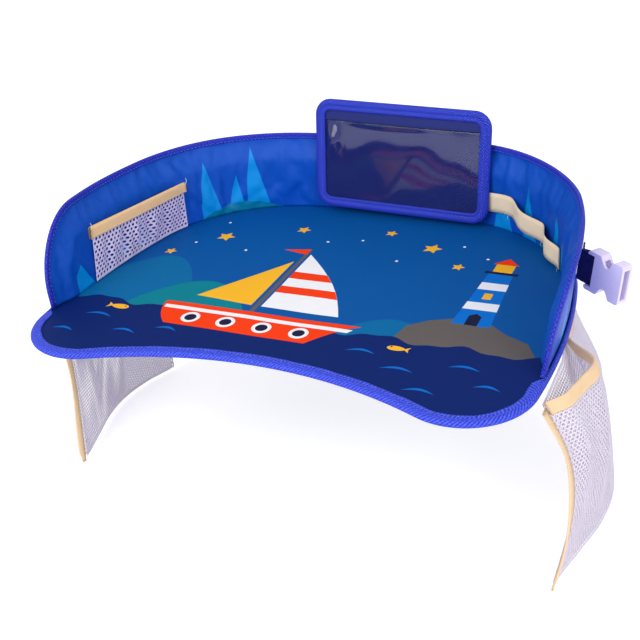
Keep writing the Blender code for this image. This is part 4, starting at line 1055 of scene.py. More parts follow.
def build_tray():
    """Printed top, padding, underside cloth and the tape round their edge."""
    edge = np.array([tuple(p) for p in tray_outline(0.0, 0.004)])

    def from_edge(x, y):
        return float(np.sqrt(((edge - (x, y)) ** 2).sum(1).min()))

    def top(x, y):
        free = smooth_step((from_edge(x, y) - TOP_SWELL_START) / TOP_SWELL_RISE)
        swell = (TOP_SWELL + TOP_WAVE * sin(x * 46 + 1.3) * cos(y * 38 - 0.6)
                 + TOP_RIPPLE * sin(x * 95 - y * 70))
        return Vector((x, y, TRAY_TOP + free * swell))

    cloth = tray_outline(PANEL_INSET, OUTLINE_SPACING)
    printed = printed_sheet("tray_print", cloth, scaled(tray_picture()), PRINT_SPACING, top, PRINT,
                            COVER, -1.0)
    take_over(printed, "tray", "printed_cloth", "tray_top_cover")

    def under(x, y):
        step = smooth_step((from_edge(x, y) - UNDERSIDE_STEP_START) / UNDERSIDE_STEP)
        return Vector((x, y, PANEL_INSET * (1 - step) + 0.00005))

    fold = [("cloth", [tuple(p) for p in tray_outline(inset, OUTLINE_SPACING)])
            for inset in (UNDERSIDE_STEP_START, UNDERSIDE_STEP_START + UNDERSIDE_STEP)]
    lower = printed_sheet("tray_underside", cloth, fold, UNDERSIDE_SPACING, under,
                          {"cloth": UNDER_CLOTH}, COVER, 1.0)
    take_over(lower, "tray", "navy_cloth", "tray_bottom_cover")

    foam_top = COVER + FIT_GAP + BOARD + FIT_GAP + TRAY_FOAM
    padding = printed_sheet("tray_padding", tray_outline(TRAY_PADDING_INSET, 0.006), [], PADDING_SPACING,
                            lambda x, y: Vector((x, y, foam_top)), {"foam": FOAM}, TRAY_FOAM, -1.0)
    take_over(padding, "tray", "foam", "tray_foam")
    build_edge_tape()


def loop_area(loop):
    """Area inside a flat loop."""
    return abs(sum(a.x * b.y - b.x * a.y for a, b in zip(loop, loop[1:] + loop[:1]))) / 2


def flange_width(distance):
    """Width of the edge tape's upper flange: narrow where the wall stands beside it."""
    wall_last = WALL_FIRST + WALL_LENGTH
    apart = max(WALL_FIRST - FIT_GAP - distance, distance - wall_last - FIT_GAP, 0.0)
    share = smooth_step(apart / FLANGE_NARROWING)
    return BINDING_BESIDE_WALL + (BINDING_FLANGE - BINDING_BESIDE_WALL) * share


def tape_section(flange_top, flange_low, top, low, groove=0.0):
    """A folded tape's outer line from its upper edge round to its lower one, then back inside."""
    middle = (top + low) / 2
    half = (top - low) / 2
    outer = [(flange_top, top - 0.00015), (flange_top * 0.86, top + 0.00005), (flange_top * 0.72, top),
             (flange_top * TAPE_GROOVE_SHARE, top - groove), (flange_top * 0.52, top + groove / 2),
             (half * 1.25, top + groove / 2)]
    for k in range(7):
        angle = pi / 2 - pi * (k + 0.5) / 7
        outer.append((half - half * cos(angle), middle + half * sin(angle)))
    outer += [(half * 1.25, low), (flange_low * 0.6, low), (flange_low, low)]
    lower = low + TAPE
    upper = top - TAPE
    rim = half - TAPE
    back = [(flange_low, lower), (half * 1.25, lower)]
    for k in range(5):
        angle = -pi / 2 + pi * (k + 0.5) / 5
        back.append((half - rim * cos(angle), middle + rim * sin(angle)))
    back += [(half * 1.25, upper), (flange_top, upper)]
    return outer + back


def build_edge_tape():
    """The folded tape round the tray, and its row of stitches."""
    rings, spots, ups = [], [], []
    for k in range(EDGE_TAPE_STEPS):
        distance = 2 * HALF_LENGTH * k / EDGE_TAPE_STEPS
        point, outward = outline_station(distance)
        wobble = EDGE_WOBBLE * sin(distance * 160) + EDGE_FINE_WOBBLE * sin(distance * 371)
        flange = flange_width(distance)
        if flange > FULL_FLANGE:
            flange += wobble * 2
        section = tape_section(flange, BINDING_FLANGE + wobble, FLANGE_TOP, 0.0)
        rings.append([Vector((*(point - outward * inset), height)) for inset, height in section])
        inset = flange - (EDGE_STITCH_INSET if flange > WIDE_FLANGE else EDGE_STITCH_INSET_BESIDE_WALL)
        spots.append(Vector((*(point - outward * inset), FLANGE_TOP)))
        ups.append(Vector((0.0, 0.0, 1.0)))
    tape = sweep("tray_edge_tape", rings, EDGE_TAPE, cyclic=True)
    take_over(tape, "tray", "blue_tape", "tray_edge_binding")
    sew("tray_edge_stitches", spots + spots[:1], ups + ups[:1], EDGE_STITCH, THREAD)


# Wall

def wall_lean(place):
    """How far the wall's top stands outside its foot, at a place along the wall."""
    return WALL_LEAN * smooth_table(WALL_LEAN_SHARES, place / WALL_LENGTH)


def wall_point(place, height, inset):
    """A point in the wall, from its right foot along, up from the tray and in from its outline."""
    point, outward = outline_station(WALL_FIRST + place)
    flat = point - outward * (inset - wall_lean(place) * height / WALL_HEIGHT)
    return Vector((*flat, WALL_BASE + height))


def flat_wall_point(place, height, inset):
    """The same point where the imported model's wall has flat stretches between its columns."""
    span = (WALL_LENGTH - 2 * WALL_END_RADIUS) / WALL_MIDDLE_STEPS
    column = (place - WALL_END_RADIUS) / span
    if column < 0 or column > WALL_MIDDLE_STEPS:
        return wall_point(place, height, inset)
    left = min(int(column), WALL_MIDDLE_STEPS - 1)
    start = WALL_END_RADIUS + span * left
    near = wall_point(start, height, inset)
    return near.lerp(wall_point(start + span, height, inset), column - left)


def rim_height(place):
    """Height of the wall's rim above its foot."""
    near = min(place, WALL_LENGTH - place)
    if near >= WALL_END_RADIUS:
        return WALL_HEIGHT
    return WALL_HEIGHT - WALL_END_RADIUS + (WALL_END_RADIUS ** 2 - (WALL_END_RADIUS - near) ** 2) ** 0.5


def edge_distance(place, height):
    """How far a spot on the wall is from its taped rim."""
    place = min(place, WALL_LENGTH - place)
    over = height - (WALL_HEIGHT - WALL_END_RADIUS)
    if place < WALL_END_RADIUS and over > 0:
        return WALL_END_RADIUS - hypot(WALL_END_RADIUS - place, over)
    return min(place, WALL_HEIGHT - height)


def pad_swell(place, height, lag=0.0):
    """How far the padding pushes the inner cloth away from the outer, past the seam."""
    rise = (edge_distance(place, height) - PAD_START - lag) / PAD_RISE
    return PAD_DEPTH * smooth_step(rise)


def inner_face(place, height):
    """Inset of the wall's inner face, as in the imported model."""
    return WALL_PINCHED + pad_swell(place, height) + COVER


def cloth_face(place, height):
    """Inset of the inner cloth without its ripples: it leaves the tape sooner and rises more gently."""
    rise = (edge_distance(place, height) - CLOTH_START) / CLOTH_RISE
    return WALL_PINCHED + PAD_DEPTH * smooth_step(rise) + COVER


POUCH_PLACE = HALF_LENGTH - WALL_FIRST - POUCH_FROM_CENTRE


def ripple_grid(name, back):
    """A grid over the wall's inner face, set back from where the cloth starts."""
    points = []
    for j in range(RIPPLE_ROWS + 1):
        for i in range(RIPPLE_COLUMNS + 1):
            place = WALL_LENGTH * i / RIPPLE_COLUMNS
            height = rim_height(place) * j / RIPPLE_ROWS
            points.append(wall_point(place, height, cloth_face(place, height) - back))
    faces = [face[::-1] for face in grid_faces(RIPPLE_COLUMNS, RIPPLE_ROWS)]
    return new_piece(name, points, faces, []), points


def simulated_ripples():
    """Roomy cloth, sewn at its foot and rim and pressed on its padding: how far it moved."""
    backing, _ = ripple_grid("ripple_backing", 2 * RIPPLE_CONTACT)
    backing.modifiers.new("collision", "COLLISION")
    backing.collision.thickness_outer = RIPPLE_CONTACT
    backing.collision.cloth_friction = RIPPLE_FRICTION
    cloth, points = ripple_grid("ripple_cloth", 0.0)
    holds = []
    for k in range(len(points)):
        place = WALL_LENGTH * (k % (RIPPLE_COLUMNS + 1)) / RIPPLE_COLUMNS
        row = k // (RIPPLE_COLUMNS + 1)
        if row == 0 or edge_distance(place, rim_height(place) * row / RIPPLE_ROWS) < INNER_TAPE_DEPTH:
            holds.append(k)
    group = cloth.vertex_groups.new(name="sewn")
    group.add(holds, 1.0, "REPLACE")
    modifier = cloth.modifiers.new("cloth", "CLOTH")
    modifier.collision_settings.distance_min = RIPPLE_CONTACT
    settings = modifier.settings
    settings.vertex_group_mass = "sewn"
    for key, value in RIPPLE_CLOTH.items():
        setattr(settings, key, value)
    scene = bpy.context.scene
    for number in range(1, RIPPLE_FRAMES + 1):
        scene.frame_set(number)
    moved = cloth.evaluated_get(bpy.context.evaluated_depsgraph_get()).data
    out = np.zeros((RIPPLE_ROWS + 1, RIPPLE_COLUMNS + 1))
    for k, point in enumerate(points):
        j, i = divmod(k, RIPPLE_COLUMNS + 1)
        _, outward = outline_station(WALL_FIRST + WALL_LENGTH * i / RIPPLE_COLUMNS)
        shift = moved.vertices[k].co - point
        out[j, i] = -(shift.x * outward.x + shift.y * outward.y)
    for piece in (cloth, backing):
        bpy.data.objects.remove(piece, do_unlink=True)
    scene.frame_set(1)
    window = np.ones(RIPPLE_WINDOW) / RIPPLE_WINDOW
    broad = np.apply_along_axis(np.convolve, 1, out, window, "same")
    return out - broad * (1 - RIPPLE_BROAD_SHARE)


RIPPLES = simulated_ripples()


def crease(place, height):
    """How far the folds along a few lines lift the inner cloth."""
    total = 0.0
    for start_x, start_y, end_x, end_y, rise, half in CREASES:
        over_x, over_y = place * 1000 - start_x, height * 1000 - start_y
        run_x, run_y = end_x - start_x, end_y - start_y
        length = hypot(run_x, run_y)
        share = (over_x * run_x + over_y * run_y) / length ** 2
        off = abs(over_x * run_y - over_y * run_x) / length
        if off < half and -CREASE_OVERRUN < share < 1 + CREASE_OVERRUN:
            start_fade = smooth_step((share + CREASE_OVERRUN) / CREASE_START_FADE)
            end_fade = smooth_step((1 + CREASE_OVERRUN - share) / CREASE_END_FADE)
            total += rise / 1000 * (1 - smooth_step(off / half)) * (start_fade * end_fade)
    inside_tape = smooth_step((edge_distance(place, height) - INNER_TAPE_DEPTH) / CREASE_TAPE_FADE)
    return total * inside_tape * smooth_step(height / CREASE_FOOT_FADE)


# Where the ripples are damped: middle along the wall, half length, fade, height, fade and share left
NET_MIDDLE = WALL_LENGTH - (NET_NEAR_FOOT + NET_FAR_TOP) / 2
BAND_MIDDLE = (PENCIL_TACKS[0] + PENCIL_END) / 2
QUIET_SPOTS = ((NET_MIDDLE, 0.066, 0.015, 0.048, 0.006, RIPPLE_NET_SHARE),
               (BAND_MIDDLE, 0.07, 0.02, 0.034, 0.01, RIPPLE_BAND_SHARE))


def ripple(place, height):
    """How far a ripple lifts the inner cloth: less than simulated, and flat behind the pouch."""
    u = min(max(place / WALL_LENGTH, 0.0), 1.0) * RIPPLE_COLUMNS
    v = min(max(height / rim_height(min(max(place, 0.0), WALL_LENGTH)), 0.0), 1.0) * RIPPLE_ROWS
    i, j = min(int(u), RIPPLE_COLUMNS - 1), min(int(v), RIPPLE_ROWS - 1)
    s, t = u - i, v - j
    value = ((RIPPLES[j, i] * (1 - s) + RIPPLES[j, i + 1] * s) * (1 - t)
             + (RIPPLES[j + 1, i] * (1 - s) + RIPPLES[j + 1, i + 1] * s) * t)
    free = smooth_step((abs(place - POUCH_PLACE) - POUCH_QUIET_HALF) / POUCH_QUIET_FADE)
    for middle, half, side_fade, top, top_fade, share in QUIET_SPOTS:
        beside = smooth_step((abs(place - middle) - half) / side_fade)
        above = smooth_step((height - top) / top_fade)
        free *= share + (1 - share) * max(beside, above)
    lift = value * RIPPLE_SHARE + crease(place, height)
    return min(max(lift, RIPPLE_LOW), RIPPLE_HIGH) * free


def wall_outline(margin, steps=RIM_CORNER_STEPS):
    """(place, height) of the wall's face: its foot and its rim, drawn in by a margin."""
    radius = WALL_END_RADIUS - margin
    corner = []
    for k in range(steps + 1):
        angle = pi / 2 * k / steps
        corner.append((WALL_END_RADIUS - radius * cos(angle),
                       WALL_HEIGHT - WALL_END_RADIUS + radius * sin(angle)))
    other = [(WALL_LENGTH - place, height) for place, height in corner[::-1]]
    return [(WALL_LENGTH - margin, 0.0), (margin, 0.0)] + corner + other


def wall_shapes():
    """Sails and waves along the wall, as (finish name, loop) of place and height."""
    shapes = []
    left = WALL_LENGTH * 1000
    for at, width, top, lean in ((205, 24, 56, 0.4), (236, 18, 38, 0.6), (256, 26, 62, 0.35),
                                 (120, 26, 30, 0.4), (86, 20, 34, 0.5), (30, 26, 24, 0.3)):
        start = left - at
        shapes.append(("wall_sail", sail(start - width, start, -4, top, start - width * lean)))
    for at, width, top, lean in ((150, 22, 26, 0.5), (176, 18, 48, 0.45), (228, 20, 52, 0.5),
                                 (262, 24, 34, 0.4), (60, 22, 30, 0.5)):
        shapes.append(("wall_sail", sail(at, at + width, -4, top, at + width * lean)))
    for start, end, height in ((left - 300, left - 196, 14), (left - 140, left - 70, 12), (130, 236, 13)):
        shapes.append(("wall_wave", mound(start, end, -4, height)))
    return scaled(shapes)


def outer_shapes():
    """The same motifs on the wall's outside, fewer and smaller."""
    shapes = []
    for at, width, top in ((40, 22, 34), (150, 26, 40), (250, 24, 46), (370, 30, 44), (480, 24, 50),
                           (600, 28, 42), (720, 22, 36)):
        shapes.append(("wall_sail", sail(at, at + width, -4, top, at + width * 0.45)))
    return scaled(shapes)


def build_wall():
    """Inner cloth over its padding, outer cloth and the tape over their rim."""
    outline = wall_outline(0.0)
    inner = printed_sheet("wall_inner_cloth", outline, wall_shapes(), WALL_SPACING,
                          lambda p, h: wall_point(p, h, cloth_face(p, h) + ripple(p, h)),
                          WALL_PRINT, COVER, 1.0)
    take_over(inner, "tray", "blue_cloth", "wall_inner_cover")
    finishes = {"plain": OUTER_CLOTH, "wall_sail": WALL_PRINT["wall_sail"]}
    outer = printed_sheet("wall_outer_cloth", outline, outer_shapes(), PRINT_SPACING,
                          lambda p, h: wall_point(p, h, WALL_INSET), finishes, COVER, -1.0)
    take_over(outer, "tray", "blue_cloth", "wall_outer_cover")
    area = loop_area([Vector(p) for p in outline])
    padding = build_wall_padding()
    build_rim_tape()


def build_wall_padding():
    """The foam inside the wall: flat on the board's side and rounded on the other."""
    rows = (0.0, 0.25, 0.5, 0.62, 0.70, 0.76, 0.82, 0.9, 1.0)
    corner_steps, middle_steps = 14, 60
    columns = wall_outline(WALL_FOAM_MARGIN, corner_steps)[2:]
    start, end = columns[corner_steps], columns[corner_steps + 1]
    middle = [(start[0] + (end[0] - start[0]) * k / middle_steps, start[1]) for k in range(1, middle_steps)]
    rings = []
    for place, top in columns[:corner_steps + 1] + middle + columns[corner_steps + 1:]:
        heights = [top * share for share in rows]
        flat_side = [wall_point(place, h, WALL_FOAM_FACE + FIT_GAP) for h in heights]
        swelled = [wall_point(place, h, WALL_PINCHED + pad_swell(place, h, FOAM_LAG) - FOAM_CLEARANCE)
                   for h in heights]
        rings.append(flat_side + swelled[::-1])
    padding = sweep("wall_padding", rings, FOAM)
    take_over(padding, "tray", "foam", "wall_foam")
    return padding


def rim_stations():
    """(place, height, turn) round the wall's rim; turn is the way inwards from it."""
    stations = [(0.0, FLANGE_TOP + FIT_GAP - WALL_BASE, 0.0), (0.0, 0.007, 0.0)]
    for k in range(RIM_CORNER_STEPS):
        angle = pi / 2 * k / RIM_CORNER_STEPS
        stations.append((WALL_END_RADIUS * (1 - cos(angle)),
                         WALL_HEIGHT - WALL_END_RADIUS * (1 - sin(angle)), angle))
    flat = WALL_LENGTH - 2 * WALL_END_RADIUS
    for k in range(RIM_MIDDLE_STEPS + 1):
        stations.append((WALL_END_RADIUS + flat * k / RIM_MIDDLE_STEPS, WALL_HEIGHT, pi / 2))
    first_end = stations[:RIM_CORNER_STEPS + 2]
    return stations + [(WALL_LENGTH - place, height, turn) for place, height, turn in first_end[::-1]]


def rim_spot(station, across, inward):
    """A point near the rim: across the wall's thickness and inward from its edge."""
    place, height, turn = station
    side = 1 if place < WALL_LENGTH / 2 else -1
    return wall_point(place + side * inward * cos(turn), height - inward * sin(turn), WALL_SEAM + across)


def fold_section(half_gap, tape, outer_depth, inner_depth):
    """(across, inward) round a tape folded over an edge, with a round crown."""
    outer = half_gap + tape
    points = [(-outer + FOLD_EASE, outer_depth), (-outer, outer_depth * 0.85),
              (-outer, outer_depth * 0.5), (-outer, FOLD_START)]
    for k in range(1, 6):
        angle = pi * k / 6
        points.append((-outer * cos(angle), -FIT_GAP + FOLD_CROWN - (tape + FOLD_CROWN) * sin(angle)))
    points += [(outer, FOLD_START), (outer, inner_depth * 0.5), (outer, inner_depth * 0.85),
               (outer - FOLD_EASE, inner_depth)]
    crown = -FIT_GAP * 0.8
    points += [(half_gap, inner_depth), (half_gap, FOLD_INNER_START), (half_gap * 0.5, crown),
               (-half_gap * 0.5, crown), (-half_gap, FOLD_INNER_START), (-half_gap, outer_depth)]
    return points


def build_rim_tape():
    """The tape over the wall's rim, stitched through on both faces."""
    half_gap = COVER + FIT_GAP * 1.5
    section = fold_section(half_gap, TAPE, WALL_TAPE_DEPTH, INNER_TAPE_DEPTH)
    stations = rim_stations()
    rings = [[rim_spot(station, across, inward) for across, inward in section] for station in stations]
    tape = sweep("wall_rim_tape", rings, RIM_TAPE)
    take_over(tape, "tray", "blue_tape", "wall_top_binding")
    for word, side, depth in (("inner", 1, INNER_TAPE_DEPTH - RIM_INNER_STITCH_INSET),
                              ("outer", -1, WALL_TAPE_DEPTH - RIM_OUTER_STITCH_INSET)):
        surface = side * (half_gap + TAPE)
        spots = [rim_spot(station, surface, depth) for station in stations]
        under = [rim_spot(station, surface - side * 0.001, depth) for station in stations]
        ups = [(spot - low).normalized() for spot, low in zip(spots, under)]
        sew("wall_rim_stitches_" + word, spots, ups, RIM_STITCH, THREAD)


# Inner net pocket

def net_spot(share, rise):
    """A point of the net: share along it, rise from 0 at its foot to 1 at its top edge."""
    foot_along = NET_NEAR_FOOT + (NET_FAR_FOOT - NET_NEAR_FOOT) * share
    top_along = NET_NEAR_TOP + (NET_FAR_TOP - NET_NEAR_TOP) * share
    top_height = NET_TOP_NEAR_HEIGHT + (NET_TOP_FAR_HEIGHT - NET_TOP_NEAR_HEIGHT) * share
    held = min(max(share, 0.0), 1.0)
    held_along = NET_NEAR_TOP + (NET_FAR_TOP - NET_NEAR_TOP) * held

    def on_wall(from_foot, height):
        along = WALL_LENGTH - from_foot
        return wall_point(along, height, inner_face(along, height) + NET_STAND_OFF)

    near = on_wall(NET_NEAR_TOP, NET_TOP_NEAR_HEIGHT)
    far = on_wall(NET_FAR_TOP, NET_TOP_FAR_HEIGHT)
    pull = near.lerp(far, held) - on_wall(held_along, top_height)
    inwards = Vector((far.y - near.y, near.x - far.x, 0.0)).normalized()
    settled = min(rise / NET_TAUT_SHARE, 1.0)
    wave = (sin(2 * pi * NET_FOLDS * share + 0.9 * sin(5 * share))
            + 0.5 * sin(2 * pi * NET_FINE_FOLDS * share + rise * 3))
    fold = NET_FOLD * wave * sin(pi * held) * sin(pi * settled)
    spot = on_wall(foot_along + (top_along - foot_along) * rise,
                   NET_FOOT_HEIGHT + (top_height - NET_FOOT_HEIGHT) * rise)
    return spot + pull * smooth_step(settled) + inwards * fold, inwards


def folded_band(name, count, place, half_gap, tape, depth, finish):
    """A band folded over an edge; place(i, across, inward) puts the points of each section."""
    section = fold_section(half_gap, tape, depth, depth)
    rings = [[place(i, across, inward) for across, inward in section] for i in range(count)]
    return sweep(name, rings, finish)


def build_inner_pocket():
    """Knitted net, the elastic over its top edge, its stitches and loose thread ends."""
    size = (NET_FAR_FOOT - NET_NEAR_FOOT, NET_TOP_NEAR_HEIGHT)
    net = lattice_sheet("inner_net", NET_COLUMNS, NET_ROWS, lambda u, v: net_spot(u, v)[0], size, NET,
                        NET_HOLE)
    take_over(net, "tray", "pale_net", "inner_pocket_net")
    count = 64
    overhang = NET_TAPE_OVERHANG / (NET_FAR_TOP - NET_NEAR_TOP)
    half = NET_CORD / 2 + FIT_GAP + NET_CORD / 4

    def place(i, across, inward):
        share = -overhang + (1 + 2 * overhang) * i / (count - 1)
        spot, inwards = net_spot(share, 1 - (inward - NET_CORD / 2) / NET_TOP_NEAR_HEIGHT)
        return spot + inwards * across

    band = folded_band("inner_pocket_band", count, place, half, ELASTIC, NET_TAPE_DEPTH, WARM_CREAM)
    take_over(band, "tray", "cream_elastic", "inner_pocket_elastic")
    face = half + ELASTIC
    spots = [place(i, face, NET_TAPE_DEPTH - BAND_STITCH_INSET) for i in range(count)]
    ups = [net_spot(i / (count - 1), 0.9)[1] for i in range(count)]
    sew("inner_pocket_stitches", spots, ups, BAND_STITCH, CREAM_THREAD)
    out = net_spot(0.5, 1.0)[1]
    steps = [Vector((0, 0, 0.002)) + out * 0.0006, Vector((0.0006, 0, 0.0045)) + out * 0.001,
             Vector((-0.0004, 0.0003, 0.0068)) + out * 0.0008]
    for word, i in (("near", 0), ("far", count - 1)):
        loose_thread("inner_pocket_thread_" + word, place(i, face, 0.001), steps, BAND_THREAD_RADIUS)


def pencil_place(share_all):
    """Where the pencil band is: place, middle height and stand-off, at a share of its run."""
    tacks = PENCIL_TACKS + (PENCIL_END,)
    spans = len(tacks) - 1
    k = min(int(share_all * spans), spans - 1)
    share = share_all * spans - k
    along = tacks[k] + (tacks[k + 1] - tacks[k]) * share
    middle = PENCIL_HEIGHTS[k] + (PENCIL_HEIGHTS[k + 1] - PENCIL_HEIGHTS[k]) * smooth_step(share)
    return along, middle, PENCIL_BULGES[k] * sin(pi * share) ** 2


def pencil_inset(along, middle, off):
    """Inset of the band's back, clear of the ripples behind it."""
    lift = RIPPLE_HIGH * RIPPLE_BAND_SHARE
    swell = max(cloth_face(along, middle + PENCIL_WIDTH * side) for side in (-0.5, 0.0, 0.5))
    return swell + lift + FIT_GAP / 2 + off


def build_pencil_band():
    """An elastic band tacked to the wall, standing off it in loops for pencils."""
    count = PENCIL_STEPS * 3 + 1
    rings = []
    for step in range(count):
        along, middle, off = pencil_place(step / (count - 1))
        ring = []
        back = pencil_inset(along, middle, off)
        for side, depth in ((-1, 0), (-0.5, 0), (0.5, 0), (1, 0), (1, 1), (0.5, 1.1), (-0.5, 1.1), (-1, 1)):
            inset = back + depth * ELASTIC
            ring.append(wall_point(along, middle + side * PENCIL_WIDTH / 2, inset))
        rings.append(ring)
    # The band takes the lighter copy of the cream: painted light where it faces away from the lamps.
    band = sweep("pencil_band", rings, LIT_CREAM)
    take_over(band, "tray", "cream_elastic", "pencil_elastic")
    for number, tack in enumerate((PENCIL_TACKS[0] + 0.0015, PENCIL_TACKS[1], PENCIL_TACKS[2])):
        _, middle, off = pencil_place(number / len(PENCIL_TACKS) + 0.0003)
        inset = pencil_inset(tack, middle, off) + ELASTIC * 1.15
        spots = [wall_point(tack, middle + PENCIL_WIDTH * (k / 8 - 0.5) * 0.92, inset) for k in range(9)]
        up = (wall_point(tack, middle, inset + 0.001) - wall_point(tack, middle, inset)).normalized()
        sew(f"pencil_tack_{number}", spots, [up] * len(spots), TACK_STITCH, CREAM_THREAD)
        steps = [up * 0.0008 + Vector((0, 0, -0.002)), up * 0.0012 + Vector((0.0005, 0, -0.0045))]
        loose_thread(f"pencil_thread_{number}", spots[0], steps, TACK_THREAD_RADIUS)


# Phone pouch

def pouch_frame():
    """Where the pouch stands: x along the wall, y up and z towards the child."""
    foot = flat_wall_point(POUCH_PLACE, POUCH_LIFT, WALL_INNER_FACE)
    outward = outline_station(WALL_FIRST + POUCH_PLACE)[1]
    front = Vector((-outward.x, -outward.y, 0.0))
    side = Vector((outward.y, -outward.x, 0.0))
    turn = Matrix((side, Vector((0.0, 0.0, 1.0)), front)).transposed()
    turn = turn @ Matrix.Rotation(-POUCH_LEAN, 3, "X") @ Matrix.Rotation(-POUCH_ROLL, 3, "Z")
    turn = turn @ Matrix.Rotation(POUCH_YAW, 3, "Y")
    return Matrix.Translation(foot + front * POUCH_STAND_OFF) @ turn.to_4x4()


def rounded_stations(width, height, radius, corner_steps, side_steps):
    """Points and outward normals round a rectangle with round corners, foot on y = 0."""
    stations = []
    corners = ((1, 1, 0.0), (-1, 1, pi / 2), (-1, -1, pi), (1, -1, 1.5 * pi))
    for side_x, side_y, start in corners:
        centre = Vector((side_x * (width / 2 - radius),
                         height / 2 + side_y * (height / 2 - radius)))
        for k in range(corner_steps + 1):
            angle = start + pi / 2 * k / corner_steps
            outward = Vector((cos(angle), sin(angle)))
            stations.append((centre + outward * radius, outward))
    out = []
    for (point, outward), (after, _) in zip(stations, stations[1:] + stations[:1]):
        steps = side_steps if (after - point).length > radius else 1
        out += [(point.lerp(after, k / steps), outward) for k in range(steps)]
    return out


def film_spot(u, v, top):
    """A place on the pouch and how far the film bows there; v runs up to the film's mouth at top."""
    left = -POUCH_WIDTH / 2 + PANEL_INSET
    x = left - 2 * left * u
    y = PANEL_INSET + (top - PANEL_INSET) * v
    over_x = abs(x) - (POUCH_WIDTH / 2 - POUCH_CORNER)
    over_y = POUCH_CORNER - y
    if over_x > 0 and over_y > 0:
        drawn_in = 1 - max(over_x, over_y) / hypot(over_x, over_y)
        x -= drawn_in * over_x * (1 if x > 0 else -1)
        y += drawn_in * over_y
    across = (abs(left) - abs(x) - POUCH_FLANGE) / (abs(left) - POUCH_FLANGE)
    up = (y - POUCH_FLANGE) / (top - POUCH_FLANGE)
    free = sin(pi / 2 * min(max(across, 0.0), 1.0)) * smooth_step(up)
    loose = smooth_step(across * 4) * smooth_step(up * 3)
    wrinkle = (FILM_WRINKLE * sin(x * 150 + 1.5 * sin(y * 50))
               + FILM_FINE_WRINKLE * sin(x * 70 - y * 90 + 1))
    lip = FILM_LIP * smooth_step((v - FILM_LIP_START) / (1 - FILM_LIP_START)) * (0.5 + sin(x * 40 + 2))
    rise = smooth_step((v - FILM_CURL_START) / FILM_CURL_RUN)
    hump = rise * (1 - 0.95 * smooth_step((v - FILM_CURL_PEAK) / FILM_CURL_RUN))
    curl = FILM_CURL * smooth_step((FILM_CURL_REACH - u) / FILM_CURL_FADE) * hump * smooth_step(across * 12)
    return x, y, max(POUCH_BULGE * POUCH_BOW_SHARE * free + loose * (wrinkle + lip) + curl, 0.0)


def build_pouch():
    """Back cloth, lining, clear window, edge tape with its stitches, and the hook strips."""
    matrix = pouch_frame()
    stations = rounded_stations(POUCH_WIDTH, POUCH_HEIGHT, POUCH_CORNER, 8, 24)
    cloth = [point - outward * PANEL_INSET for point, outward in stations]
    board_low = COVER + FIT_GAP
    lining_low = board_low + POUCH_BOARD + FIT_GAP
    window_low = lining_low + COVER + FIT_GAP

    def layer(name, height, finish, offset, node):
        piece = printed_sheet(name, cloth, [], POUCH_SPACING, lambda x, y: matrix @ Vector((x, y, height)),
                              {"cloth": finish}, COVER, offset)
        take_over(piece, "phone_pouch", "blue_cloth", node)
        return piece

    layer("pouch_back_cloth", 0.0, OUTER_CLOTH, 1.0, "pouch_back_cover")
    lining = layer("pouch_lining_cloth", lining_low + COVER, LINING_CLOTH, -1.0, "pouch_lining")
    top = POUCH_HEIGHT - POUCH_MOUTH_DROP

    def film(u, v):
        x, y, bow = film_spot(u, v, top)
        return matrix @ Vector((x, y, window_low + POUCH_WINDOW / 2 + bow))

    window = sheet("pouch_clear_window", FILM_COLUMNS, FILM_ROWS, film, (POUCH_WIDTH, top), [FILM],
                   POUCH_WINDOW)
    take_over(window, "phone_pouch", "clear_sheet", "pouch_window")

    high = window_low + POUCH_WINDOW + FIT_GAP + TAPE
    low = -FIT_GAP - TAPE
    section = tape_section(POUCH_FLANGE, POUCH_FLANGE, high, low, POUCH_GROOVE)
    rings, groove, ups = [], [], []
    for point, outward in stations:
        rings.append([matrix @ Vector((*(point - outward * inset), height)) for inset, height in section])
        seam = point - outward * POUCH_FLANGE * TAPE_GROOVE_SHARE
        groove.append(matrix @ Vector((*seam, high - POUCH_GROOVE)))
        ups.append(matrix.to_3x3() @ Vector((0.0, 0.0, 1.0)))
    tape = sweep("pouch_edge_tape", rings, POUCH_TAPE, cyclic=True)
    take_over(tape, "phone_pouch", "blue_tape", "pouch_binding")
    sew("pouch_edge_stitches", groove + groove[:1], ups + ups[:1], POUCH_STITCH, THREAD, "phone_pouch")
    build_hook_strips(matrix)


def build_hook_strips(matrix):
    """Hook strips on the pouch's back and loop strips on the wall."""
    for side, word in ((-1, "left"), (1, "right")):
        centre = side * (POUCH_WIDTH / 2 - HOOK_FROM_END)

        def hook(u, v):
            x = centre + HOOK_WIDTH * (u - 0.5)
            return matrix @ Vector((x, HOOK_LIFT + HOOK_HEIGHT * v, -FIT_GAP - HOOK_TAPE / 2))

        strip = sheet("pouch_hooks_" + word, 8, 12, hook, (HOOK_WIDTH, HOOK_HEIGHT), [PILE], HOOK_TAPE)
        take_over(strip, "phone_pouch", "hook_tape", "pouch_hook_strip_" + word)
    for side, word in ((1, "left"), (-1, "right")):
        start = POUCH_PLACE + side * (POUCH_WIDTH / 2 - HOOK_FROM_END) - LOOP_WIDTH / 2

        def loops(u, v):
            along = start + LOOP_WIDTH * u
            height = POUCH_LIFT + HOOK_LIFT + HOOK_HEIGHT * v
            return wall_point(along, height, inner_face(along, height) + FIT_GAP + LOOP_TAPE / 2)

        strip = sheet("wall_loops_" + word, 10, 12, loops, (LOOP_WIDTH, HOOK_HEIGHT), [PILE], LOOP_TAPE)
        take_over(strip, "tray", "hook_tape", "wall_loop_strip_" + word)


# Side net pockets

POCKET_AXIS_X = ARCS[2][2].x + ARCS[2][0]


